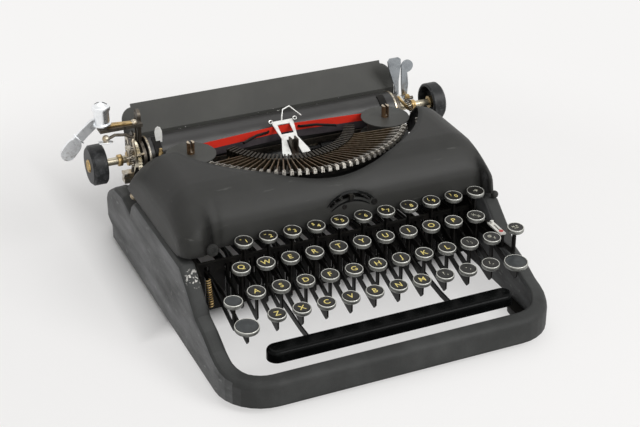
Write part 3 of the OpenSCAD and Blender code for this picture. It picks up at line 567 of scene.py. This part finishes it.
def disc_black():
    p = Paint("disc_black", srgb(24, 23, 20), 0.26, specular=0.35)
    p.tint(p.between(p.noise(3.0, 4.0), 0.5, 0.7), srgb(40, 38, 33), 0.7)
    p.shift(p.noise(2.0, 4.0), 0.12)
    p.bump(p.noise(2.5, 2.0), 0.01)
    return p.done()


def blank_disc():
    p = Paint("blank_disc", srgb(50, 53, 54), 0.36, specular=0.35)
    p.tint(p.between(p.noise(4.0, 4.0), 0.45, 0.7), srgb(66, 70, 71), 0.7)
    p.bump(p.noise(2.5, 2.0), 0.01)
    return p.done()


def legend_ink(name, colour, worn):
    p = Paint(name, colour, 0.5)
    p.tint(p.between(p.noise(0.8, 4.0), 0.5, 0.66), worn, 0.6)
    p.bump(p.noise(0.4, 2.0), 0.01)
    return p.done()


def ring_metal():
    p = Paint("ring_metal", srgb(150, 151, 147), 0.34, metal=1.0)
    # Faces turned up painted paler than the sides: a painted highlight on the ring's top.
    p.tint(p.between(p.slope(2), 0.3, 0.75), srgb(206, 206, 200))
    p.tint(p.between(p.noise(1.6, 4.0), 0.5, 0.7), srgb(112, 110, 103), 0.45)
    p.shift(p.noise(1.4, 3.0), 0.2)
    p.bump(p.noise(0.7, 3.0), 0.02)
    return p.done()


def ribbon_cloth():
    """Inked cloth: red above, dark below, and a fine weave."""
    p = Paint("ribbon_cloth", srgb(62, 56, 60), 0.85, specular=0.2)
    p.tint(p.between(p.noise(9.0, 4.0), 0.4, 0.7), srgb(78, 72, 74), 0.7)
    p.tint(p.between(p.axis(2), RIBBON_MIDDLE_Z, RIBBON_MIDDLE_Z + 0.25), srgb(222, 50, 34))
    weave = p.maths("ADD", p.waves(0.16, "X"), p.waves(0.16, "Z"))
    p.bump(weave, 0.03)
    return p.done()


def white_enamel():
    p = Paint("white_enamel", srgb(222, 221, 214), 0.4)
    p.tint(p.between(p.noise(2.0, 4.0), 0.55, 0.7), srgb(176, 172, 162), 0.6)
    p.bump(p.noise(0.8, 2.0), 0.01)
    return p.done()


def red_enamel():
    p = Paint("red_enamel", srgb(196, 70, 66), 0.5)
    p.tint(p.between(p.noise(0.9, 3.0), 0.5, 0.7), srgb(150, 56, 54), 0.6)
    p.bump(p.noise(0.5, 2.0), 0.01)
    return p.done()


paints = {
    "crackle": crackle_paint(),
    "hood": hood_paint(),
    "table": table_paint(),
    "black": black_steel(),
    "steel": worn_metal("steel", srgb(190, 186, 176), 0.3, srgb(78, 68, 56), brass=srgb(170, 150, 116)),
    "dark_steel": worn_metal("dark_steel", srgb(96, 90, 82), 0.4, srgb(44, 40, 36)),
    "bars": bar_metal(),
    "segment": segment_metal(),
    "nickel": nickel(),
    "plate": plate_nickel(),
    "chrome": chrome("chrome", srgb(246, 248, 250), srgb(214, 217, 220)),
    "dull_chrome": chrome("dull_chrome", srgb(158, 163, 167), srgb(112, 117, 122)),
    "rubber": rubber(),
    "platen": roller_rubber(),
    "knob": knob_rubber(),
    "spool": spool_metal(),
    "gloss": gloss_black(),
    "key": key_black(),
    "disc": disc_black(),
    "blank": blank_disc(),
    "ink": legend_ink("cream_ink", srgb(232, 214, 128), srgb(178, 156, 84)),
    "grey_ink": legend_ink("grey_ink", srgb(206, 204, 186), srgb(150, 148, 130)),
    "ring": ring_metal(),
    "ribbon": ribbon_cloth(),
    "white": white_enamel(),
    "red": red_enamel(),
    "brass": worn_metal("aged_brass", srgb(186, 160, 112), 0.34, srgb(92, 72, 48), amount=0.7),
}

# Paints of the CAD nodes; key levers, which aren't listed, take the key paint
NODE_PAINT = {
    "casing": "crackle",
    "hood": "hood",
    "mechanism_frame": "black",
    "rubber_feet": "rubber",
    "key_fulcrum_rod": "steel",
    "type_segment": "segment",
    "typebars": "bars",
    "typebar_h": "bars",
    "type_guide": "dark_steel",
    "ribbon_vibrator": "plate",
    "spool_cups": "black",
    "ribbon": "ribbon",
    "ribbon_spool_left": "spool",
    "ribbon_spool_right": "spool",
    "hood_pivots": "black",
    "touch_lever": "black",
    "ribbon_selector": "white",
    "carriage_rails": "steel",
    "carriage_frame": "dark_steel",
    "paper_fingers": "black",
    "platen": "platen",
    "platen_knobs": "knob",
    "return_lever": "chrome",
    "paper_table": "table",
    "feed_rollers": "rubber",
    "paper_release_lever": "dull_chrome",
    "carriage_release_lever": "dull_chrome",
    "margin_stop_left": "steel",
    "margin_stop_right": "steel",
    "mainspring_drum": "brass",
    "escapement_wheel": "steel",
    "bell": "nickel",
    "space_bar": "gloss",
}

for node_name, node_object in nodes.items():
    chosen = paints[NODE_PAINT.get(node_name, "key")]
    node_object.data.materials.clear()
    node_object.data.materials.append(chosen)


# Mesh helpers


def piece(name, verts, faces, paint, body, smooth=True, sharp=40.0):
    """A mesh object whose points are already in the shared frame, in metres."""
    mesh = bpy.data.meshes.new(name)
    mesh.from_pydata([tuple(v) for v in verts], [], faces)
    work = bmesh.new()
    work.from_mesh(mesh)
    bmesh.ops.remove_doubles(work, verts=work.verts, dist=1e-7)
    bmesh.ops.recalc_face_normals(work, faces=work.faces)
    for face in work.faces:
        face.smooth = smooth
    for edge in work.edges:
        if len(edge.link_faces) == 2 and edge.calc_face_angle() > math.radians(sharp):
            edge.smooth = False
    work.to_mesh(mesh)
    work.free()
    thing = bpy.data.objects.new(name, mesh)
    bpy.context.scene.collection.objects.link(thing)
    mesh.materials.append(paints[paint])
    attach(thing, body)
    return thing


def lathe(outline, place, steps):
    """Verts and faces of a turned ring. outline is a closed line of local (radius, height) pairs."""
    verts = []
    faces = []
    n = len(outline)
    for i in range(steps):
        a = 2 * math.pi * i / steps
        for r, h in outline:
            verts.append(place @ Vector((r * math.cos(a), r * math.sin(a), h)))
    for i in range(steps):
        j = (i + 1) % steps
        for k in range(n):
            m = (k + 1) % n
            faces.append((i * n + k, j * n + k, j * n + m, i * n + m))
    return verts, faces


def cap(outline, place, steps):
    """A turned form whose outline starts and ends on the axis."""
    verts = [place @ Vector((0, 0, outline[0][1])), place @ Vector((0, 0, outline[-1][1]))]
    inner = outline[1:-1]
    n = len(inner)
    faces = []
    for i in range(steps):
        a = 2 * math.pi * i / steps
        for r, h in inner:
            verts.append(place @ Vector((r * math.cos(a), r * math.sin(a), h)))
    for i in range(steps):
        j = (i + 1) % steps
        a = 2 + i * n
        b = 2 + j * n
        faces.append((0, b, a))
        faces.append((1, a + n - 1, b + n - 1))
        for k in range(n - 1):
            faces.append((a + k, b + k, b + k + 1, a + k + 1))
    return verts, faces


def join(parts):
    """Several (verts, faces) as one."""
    verts = []
    faces = []
    for some_verts, some_faces in parts:
        base = len(verts)
        verts.extend(some_verts)
        faces.extend(tuple(base + i for i in face) for face in some_faces)
    return verts, faces


def tube(points, radius, steps):
    """A round wire through points of the machine's frame, closed at both ends."""
    path = [Vector(p) for p in points]
    verts = []
    faces = []
    side = None
    for i, p in enumerate(path):
        ahead = path[min(i + 1, len(path) - 1)] - path[max(i - 1, 0)]
        ahead.normalize()
        if side is None:
            side = ahead.orthogonal().normalized()
        side = (side - ahead * side.dot(ahead)).normalized()
        up = ahead.cross(side)
        for k in range(steps):
            a = 2 * math.pi * k / steps
            q = p + (side * math.cos(a) + up * math.sin(a)) * radius
            verts.append(put(*q))
    for i in range(len(path) - 1):
        for k in range(steps):
            m = (k + 1) % steps
            faces.append((i * steps + k, i * steps + m, (i + 1) * steps + m, (i + 1) * steps + k))
    last = (len(path) - 1) * steps
    faces.append(tuple(range(steps - 1, -1, -1)))
    faces.append(tuple(range(last, last + steps)))
    return verts, faces


def slab(outline, thick, place, bevel):
    """A flat plate with softened edges. outline is local (x, y) pairs, counter-clockwise."""
    n = len(outline)
    rings = [(bevel, 0.0), (0.0, bevel), (0.0, thick - bevel), (bevel, thick)]
    verts = []
    faces = []
    for inset, height in rings:
        for i in range(n):
            before = Vector(outline[i]) - Vector(outline[i - 1])
            after = Vector(outline[(i + 1) % n]) - Vector(outline[i])
            turn = (before.normalized() + after.normalized()).normalized()
            inward = Vector((-turn.y, turn.x))
            p = Vector(outline[i]) + inward * inset
            verts.append(place @ Vector((p.x, p.y, height)))
    for k in range(3):
        for i in range(n):
            j = (i + 1) % n
            faces.append((k * n + i, k * n + j, (k + 1) * n + j, (k + 1) * n + i))
    faces.append(tuple(range(n - 1, -1, -1)))
    faces.append(tuple(range(3 * n, 4 * n)))
    return verts, faces


def place_at(x, y, z, turn=None):
    """A matrix from local millimetres to the shared frame."""
    scale = Matrix.Scale(MM, 4)
    move = Matrix.Translation(put(x, y, z))
    return move @ scale @ (turn.to_4x4() if turn is not None else Matrix.Identity(4))


def bar_faces(sections):
    """Faces of a bar with four points to each section, closed at both ends."""
    faces = []
    for i in range(sections - 1):
        for k in range(4):
            m = (k + 1) % 4
            faces.append((4 * i + k, 4 * i + m, 4 * i + 4 + m, 4 * i + 4 + k))
    last = 4 * (sections - 1)
    faces.append((3, 2, 1, 0))
    faces.append((last, last + 1, last + 2, last + 3))
    return faces


# Key tops: a pressed ring, a dark disc and its legend

LETTER = 7.0
FIGURE = 5.4
LEGEND_THICK = 0.05
LEGEND_SUNK = 0.1
LEGEND_BOLD = 0.03


def ring_outline(r):
    h = RING_H
    return [
        (r - 1.6, -h + 0.2),
        (r - 0.9, -h - 0.05),
        (r - 0.35, -h + 0.1),
        (r + 0.02, -h + 0.75),
        (r + 0.06, -0.9),
        (r + 0.02, -0.35),
        (r - 0.12, -0.04),
        (r - 0.34, 0.1),
        (r - 0.62, 0.08),
        (r - 0.82, -0.06),
        (r - 1.0, -0.6),
        (r - 1.3, -1.0),
    ]


def disc_outline(r):
    return [
        (0, -1.0),
        (r - 1.3, -1.0),
        (r - 0.86, -0.3),
        (r - 1.1, 0.04),
        (r - 1.4, -0.12),
        (r - 2.4, -0.16),
        (r - 4.2, -0.12),
        (0, -0.1),
    ]


def legend_mesh(text, size, place, across, along):
    """Raised lettering as verts and faces, centred on a local point."""
    curve = bpy.data.curves.new("legend", "FONT")
    curve.body = text
    curve.size = size
    curve.align_x = "CENTER"
    curve.align_y = "CENTER"
    curve.extrude = LEGEND_THICK
    curve.offset = LEGEND_BOLD
    curve.resolution_u = 3
    holder = bpy.data.objects.new("legend", curve)
    bpy.context.scene.collection.objects.link(holder)
    bpy.context.view_layer.update()
    mesh = bpy.data.meshes.new_from_object(holder)
    points = [v.co for v in mesh.vertices]
    low = Vector((min(p.x for p in points), min(p.y for p in points)))
    high = Vector((max(p.x for p in points), max(p.y for p in points)))
    mid = (low + high) / 2
    verts = []
    for p in points:
        verts.append(place @ Vector((p.x - mid.x + across, p.y - mid.y + along, p.z - LEGEND_SUNK)))
    faces = [tuple(p.vertices) for p in mesh.polygons]
    bpy.data.objects.remove(holder)
    bpy.data.curves.remove(curve)
    bpy.data.meshes.remove(mesh)
    return verts, faces


def dress_keys(name, body, keys, r=CAP_R):
    """Rings, discs and legends of the keys of one body.

    keys holds (point, marks, ink) for each key, and marks holds (text, size, across, along).
    """
    rings = []
    discs = []
    inks = {}
    for point, marks, ink in keys:
        place = place_at(*point, Matrix.Rotation(KEY_TILT, 3, "X"))
        rings.append(lathe(ring_outline(r), place, 44))
        discs.append(cap(disc_outline(r), place, 36))
        for text, size, across, along in marks:
            inks.setdefault(ink, []).append(legend_mesh(text, size, place, across, along))
    ring_verts, ring_faces = join(rings)
    piece("ring_" + name, ring_verts, ring_faces, "ring", body, sharp=50)
    disc_verts, disc_faces = join(discs)
    piece("disc_" + name, disc_verts, disc_faces, "disc" if inks else "blank", body)
    for ink, parts in inks.items():
        ink_verts, ink_faces = join(parts)
        piece("legend_" + name + "_" + ink, ink_verts, ink_faces, ink, body, smooth=False)


def key_point(row, i):
    return (FIRST_X[row] + i * KEY_PITCH, ROW_Y[row], ROW_Z[row])


for row, letters in ((1, "QWERTYUIOP"), (2, "ASDFGHJKL")):
    for i, letter in enumerate(letters):
        low = letter.lower()
        marks = [(letter, LETTER, 0.0, 0.0)]
        dress_keys(low, "key_" + low, [(key_point(row, i), marks, "ink")])

figure_keys = []
for i, (figure, sign) in enumerate(zip("1234567890", "°”#$%_&’()")):
    marks = [(figure, FIGURE, 1.5, -1.1), (sign, 4.2, -1.9, 1.7)]
    figure_keys.append((key_point(0, i), marks, "ink"))
dress_keys("figures", "figure_keys", figure_keys)

low_keys = [(key_point(3, i), [(letter, LETTER, 0.0, 0.0)], "ink") for i, letter in enumerate("ZXCVBNM")]
dress_keys("low_letters", "lower_letter_keys", low_keys)

marks_of = [
    ((1, 10), [("½", 4.0, -1.3, 1.3), ("¼", 4.0, 1.5, -1.5)]),
    ((2, 9), [(":", 5.0, -1.0, 1.4), (";", 5.0, 1.0, -1.2)]),
    ((2, 10), [("@", 3.4, -1.2, 1.4), ("¢", 4.0, 1.5, -1.5)]),
    ((3, 7), [("?", 4.6, -0.8, 1.0), (",", 5.0, 1.4, -1.6)]),
    ((3, 8), [(".", 6.0, -1.0, 1.2), (".", 6.0, 1.3, -1.4)]),
    ((3, 9), [("/", 4.6, -0.6, 0.8), ("-", 4.6, 1.2, -1.7)]),
]
mark_keys = [(key_point(*at), marks, "grey_ink") for at, marks in marks_of]
dress_keys("marks", "punctuation_keys", mark_keys)

release_marks = [("M", 2.8, -1.6, 1.0), ("R", 2.8, 1.6, 1.0), ("–", 6.5, 0.0, -1.2)]
lone_keys = [
    ("backspace", "backspace", (109.8, ROW_Y[0], ROW_Z[0]), [("→", 5.0, 0.0, 0.2)], CAP_R),
    ("release", "margin_release", (117.5, 54.5, 70.0), release_marks, CAP_R - 0.5),
    ("lock", "shift_lock", (-106.3, 59.0, 59.1), [], CAP_R),
    ("left_shift", "left_shift", (-103.9, 39.7, 49.2), [], SHIFT_R),
    ("right_shift", "right_shift", (111.3, 40.8, 49.2), [], SHIFT_R),
]
for key_name, body, at, marks, radius in lone_keys:
    dress_keys(key_name, body, [(at, marks, "grey_ink")], radius)


# Forms of the small fittings


def wire(name, points, radius, paint, body, steps=8):
    piece(name, *tube(points, radius, steps), paint, body)


def plate(name, outline, thick, place, bevel, paint, body):
    piece(name, *slab(outline, thick, place, bevel), paint, body)


def turned(name, outline, at, axis, paint, body, steps=28):
    """A turned form that rises from a point along an axis."""
    turn = Vector(axis).to_track_quat("Z", "Y").to_matrix()
    piece(name, *cap(outline, place_at(*at, turn), steps), paint, body)


def ball(radius, neck=0.0):
    """The outline of a ball from its foot, on a short neck."""
    line = [(0.0, 0.0)]
    if neck:
        line += [(radius * 0.45, 0.0), (radius * 0.45, neck)]
    for i in range(1, 10):
        a = math.pi * i / 10
        line.append((radius * math.sin(a), neck + radius - radius * math.cos(a)))
    line.append((0.0, neck + 2 * radius))
    return line


def screw_head(radius, tall):
    """The outline of a round screw head, hollowed in its middle."""
    return [
        (0.0, 0.0),
        (radius, 0.0),
        (radius, tall * 0.6),
        (radius * 0.85, tall),
        (radius * 0.5, tall * 1.05),
        (radius * 0.42, tall * 0.75),
        (0.0, tall * 0.75),
    ]


def coil(start, end, radius, turns, steps=10):
    """Points of a spring from start to end."""
    a = Vector(start)
    b = Vector(end)
    ahead = (b - a).normalized()
    side = ahead.orthogonal().normalized()
    up = ahead.cross(side)
    count = turns * steps
    points = []
    for i in range(count + 1):
        t = 2 * math.pi * i / steps
        points.append(a + (b - a) * (i / count) + (side * math.cos(t) + up * math.sin(t)) * radius)
    return points


def ring_points(centre, across, along, steps=24):
    """A closed loop spanned by two half axes."""
    c = Vector(centre)
    u = Vector(across)
    v = Vector(along)
    turns = [2 * math.pi * i / steps for i in range(steps + 1)]
    return [c + u * math.cos(t) + v * math.sin(t) for t in turns]


def on_shaft(outline, x, steps):
    """A turned ring about the platen's axis."""
    return lathe(outline, place_at(x, PLATEN_Y, PLATEN_Z, ALONG_X), steps)


def post_slot():
    """The screwdriver slot across the post's cap, as a dark sliver that follows its dome; its dark colour is
    painted shade of the slot's hollow.
    """
    turn = math.radians(-24)
    half_length = 4.8
    half_width = 0.6
    depth = 0.5
    dome_middle = 133.6
    dome_radius = 7.66
    flat_top = 141.09
    sections = 13
    verts = []
    for i in range(sections):
        t = -half_length + 2 * half_length * i / (sections - 1)
        top = min(dome_middle + math.sqrt(dome_radius ** 2 - t * t), flat_top)
        for side, drop in ((-half_width, depth), (-half_width, 0.0), (half_width, 0.0), (half_width, depth)):
            x = t * math.cos(turn) - side * math.sin(turn)
            y = t * math.sin(turn) + side * math.cos(turn)
            verts.append(put(POST[0] + x, POST[1] + y, top - drop))
    piece("lever_post_slot", verts, bar_faces(sections), "key", "return_lever", smooth=False)


def front_of_hood(z):
    """How far back the hood's front stands at a height."""
    line = [(80.0, 110.4), (88.0, 111.2), (93.5, 113.2), (98.3, 117.2)]
    for (z0, y0), (z1, y1) in zip(line, line[1:]):
        if z <= z1:
            return y0 + (y1 - y0) * (z - z0) / (z1 - z0)
    return line[-1][1]


def touch_lip(name, inner, outer, rise):
    """One dark lip along the touch lever's slot. inner and outer give its radii from a 0 to 1 fullness."""
    half_turn = 41
    least_full = 0.02
    sunk = 0.6
    sections = 31
    verts = []
    for i in range(sections):
        along = i / (sections - 1) * 2 - 1
        a = math.radians(half_turn * along)
        full = math.sqrt(max(least_full, 1 - along ** 2))
        low = inner(full)
        high = outer(full)
        for radius, lift in ((low, -sunk), (low, rise), (high, rise), (high, -sunk)):
            x = TOUCH_X + radius * math.sin(a)
            z = TOUCH_Z + radius * math.cos(a)
            verts.append(put(x, front_of_hood(z) - lift, z))
    piece(name, verts, bar_faces(sections), "gloss", "hood")


# Return lever and the left end of the carriage. What rides on the carriage stays behind the ribbon guide.

LEFTWARD = (-1.0, 0.0, 0.0)
FORWARD = (0.0, -1.0, 0.0)
UPWARD = (0.0, 0.0, 1.0)
STANDING = Matrix(((0, 0, 1), (1, 0, 0), (0, 1, 0)))

collar = [(6.02, 122.4), (7.3, 122.6), (7.5, 123.3), (7.3, 124.0), (6.02, 124.2)]
rim = [(5.8, 134.6), (6.9, 134.9), (7.1, 136.4), (6.8, 137.9), (5.8, 138.2)]
post_rims = [lathe(outline, place_at(*POST, 0.0), 32) for outline in (collar, rim)]
piece("lever_post_rims", *join(post_rims), "chrome", "return_lever")
post_slot()
clip = ring_points((-160.6, 243.0, 114.0), (0.0, 2.5, 0.0), (-3.3, 0.0, 3.9))
wire("lever_clip", clip, 0.6, "chrome", "return_lever")

arm_turn = Matrix.Rotation(math.radians(-8), 3, "Z")
arm_line = [(0.0, -2.6), (20.0, -2.0), (22.6, -1.2), (23.6, 0.0), (22.6, 1.2), (20.0, 2.0), (0.0, 2.6)]
plate("lever_arm", arm_line, 1.5, place_at(-137.6, 244.4, 119.6, arm_turn), 0.25, "brass", "carriage")
turned("lever_arm_ball", ball(2.7), (-116.6, 241.5, 117.4), UPWARD, "steel", "carriage")
trip = [(-119, 238, 109), (-126, 236.5, 113.5), (-134, 236, 115), (-139, 236, 113)]
wire("trip_lever", trip, 1.3, "dark_steel", "carriage")
turned("trip_ball", ball(2.9), (-141.2, 236, 110.4), UPWARD, "steel", "carriage")
tab_line = [(0.0, 0.0), (9.0, -1.5), (11.0, 1.0), (9.0, 4.0), (0.0, 5.0)]
plate("trip_tab", tab_line, 0.9, place_at(-147, 233.5, 110.2), 0.2, "chrome", "carriage")
pawl = [(-118, 240, 112), (-120, 237, 106), (-118.6, 235.5, 97), (-119.4, 236, 90)]
wire("pawl", pawl, 1.5, "steel", "carriage")
pawl_link = [(-124, 239, 108), (-123, 236, 99), (-121, 235, 90), (-122, 235.5, 81)]
wire("pawl_link", pawl_link, 1.2, "dark_steel", "carriage")
wire("pawl_spring", coil((-121.6, 236, 104), (-121.6, 235.4, 86), 1.5, 10), 0.38, "steel", "carriage", 6)
collars = [
    on_shaft([(3.0, -1.8), (4.4, -1.8), (4.7, -1.4), (4.7, 1.4), (4.4, 1.8), (3.0, 1.8)], -128.5, 28),
    on_shaft([(3.0, -1.0), (5.6, -1.0), (5.9, 0.0), (5.6, 1.0), (3.0, 1.0)], -121.5, 28),
    on_shaft([(3.0, -1.5), (4.5, -1.5), (4.5, 1.5), (3.0, 1.5)], 128.5, 28),
]
piece("shaft_collars", *join(collars), "brass", "platen")
hub = [(0, 0), (5.2, 0), (4.9, 0.9), (3.6, 1.3), (3.2, 0.9), (0, 0.8)]
turned("knob_hub", hub, (-153.4, PLATEN_Y, PLATEN_Z), LEFTWARD, "brass", "platen")
finger_half = [(2.4, -1.0), (3.0, 4.0), (3.1, 8.0), (2.0, 11.0)]
finger_line = [(-2.4, -1.0)] + finger_half + [(0.0, 12.0)] + [(-x, y) for x, y in finger_half[:0:-1]]
lean = Matrix.Rotation(math.radians(78), 3, "X")
plate("finger_tip", finger_line, 0.6, place_at(-97.6, 240.2, 100.8, lean), 0.15, "plate", "carriage")
guide_post = [(0, 0), (1.8, 0), (1.8, 6.0), (1.4, 6.6), (1.2, 9.6), (0, 10.0)]
turned("finger_post", guide_post, (-101.8, 223.5, 93.0), UPWARD, "brass", "body")
turned("hub_nut", ball(3.6, 1.2), (-122.6, 229.0, 60.5), (-0.3, -0.4, 0.85), "steel", "body")


# Right end of the carriage

foot_line = [(-2.8, 0.0), (3.2, -1.0), (4.6, 3.0), (1.4, 8.6), (-1.4, 8.6), (-3.4, 4.0)]
foot_turn = Matrix.Rotation(math.radians(80), 3, "X")
plate("release_foot", foot_line, 1.6, place_at(117.0, 249.6, 89.0, foot_turn), 0.3, "plate", "carriage")
release_link = [(113.6, 246, 98), (117.4, 242, 93), (121.4, 240.5, 88), (126, 243, 85)]
wire("release_link", release_link, 1.4, "brass", "carriage")
release_spring = coil((119, 239, 98), (124, 237.5, 84), 1.6, 8)
wire("release_spring", release_spring, 0.4, "dark_steel", "carriage", 6)
turned("release_screw", screw_head(2.4, 1.4), (124.6, 249.8, 94.6), FORWARD, "brass", "carriage")


# Arms that hold the ribbon and eyes that guide it, either side of the print point

for side, hand in ((-1, "left"), (1, "right")):
    arm = [(40, 213.5, 99.2), (26, 222.5, 98.6), (14, 227.2, 97.4), (12, 230.4, 97.4)]
    arm_points = [(BASKET.x + side * x, y, z) for x, y, z in arm]
    wire("ribbon_arm_" + hand, arm_points, 1.1, "black", "body")
    eye = ring_points((BASKET.x + side * 10.4, 229.6, 104.6), (0.0, 1.2, 0.9), (1.5, 0.0, 0.0), 14)
    wire("ribbon_eye_" + hand, eye, 0.45, "nickel", "ribbon_vibrator", 6)


# Hood slot, key return spring, platen ends, and the rest of the carriage's left end

touch_lip("touch_lip_upper", lambda full: 28.9, lambda full: 29.1 + 1.2 * full, 0.3)
touch_lip("touch_lip_lower", lambda full: 23.9 - 1.3 * full, lambda full: 24.1, 0.25)
return_spring = coil((-113.0, 86.0, 40.0), (-113.0, 92.0, 60.0), 1.7, 12)
wire("return_spring", return_spring, 0.45, "brass", "body", 6)
disc = [(3.2, -0.9), (15.3, -0.9), (15.6, -0.6), (15.6, 0.6), (15.3, 0.9), (3.2, 0.9)]
end_discs = [on_shaft(disc, x, 56) for x in (-107.0, 107.0)]
piece("platen_end_discs", *join(end_discs), "steel", "platen")
cheek = [(-9, -6), (-3, -9), (4, -6), (8, 2), (6, 12), (0, 17), (-6, 22), (-10, 21), (-8, 12), (-12, 4)]
plate("carriage_cheek", cheek, 1.2, place_at(-119.6, 247.0, 92.0, STANDING), 0.25, "dark_steel", "carriage")
catch = [(-2, -8), (2, -8), (2.6, 2), (6, 9), (5, 14), (1.6, 15), (0.6, 10), (-2.6, 3)]
plate("carriage_catch", catch, 1.0, place_at(-124.4, 237.0, 98.0, STANDING), 0.2, "steel", "carriage")
wire("catch_rod", [(-126, 235.6, 93.5), (-119, 235.4, 94.3), (-111.6, 235.2, 95)], 1.0, "steel", "carriage")
turned("catch_screw", screw_head(2.5, 1.5), (-124.2, 235.6, 102.5), (-0.4, -0.9, 0.1), "steel", "carriage")
wire("bracket_rib", [(-117, 237, 83), (-120, 235.5, 76), (-121, 235, 70)], 1.7, "black", "carriage")
arm_edge = [(-113.4, 250.5, 96), (-113.4, 249.4, 108), (-113.4, 249.6, 120)]
wire("arm_edge", arm_edge, 0.8, "dark_steel", "carriage")


# Screws and beads on the hood, and the red dot of the ribbon selector

HOOD_NORMAL = (0.0, -1.0, 0.15)
turned("touch_screw", screw_head(2.5, 1.1), (27.4, 110.9, 83.6), HOOD_NORMAL, "black", "hood")
turned("touch_mark", screw_head(2.0, 0.6), (3.0, 110.9, 84.2), HOOD_NORMAL, "black", "hood")
turned("hood_screw_left", screw_head(4.6, 2.0), (-106.0, 100.6, 78.0), (0.0, -1.0, 0.35), "hood", "hood")
turned("hood_bead_right", ball(3.0), (125.2, 105.4, 70.8), (0.5, -0.6, 0.3), "hood", "hood")
dot = [(0, 0), (1.7, 0), (1.7, 0.25), (0, 0.3)]
turned("selector_dot", dot, (114.6, 70.0, 59.2), UPWARD, "red", "ribbon_selector")


# The stage

add_camera()
add_world()
add_floor()
add_lamp("key", (1.1, -1.5, 1.5), 1.3, 30)
add_lamp("fill", (-0.6, -1.9, 1.2), 1.4, 9)
add_lamp("top", (0.0, 0.6, 2.1), 1.6, 8)

bpy.context.scene.view_settings.view_transform = "Standard"
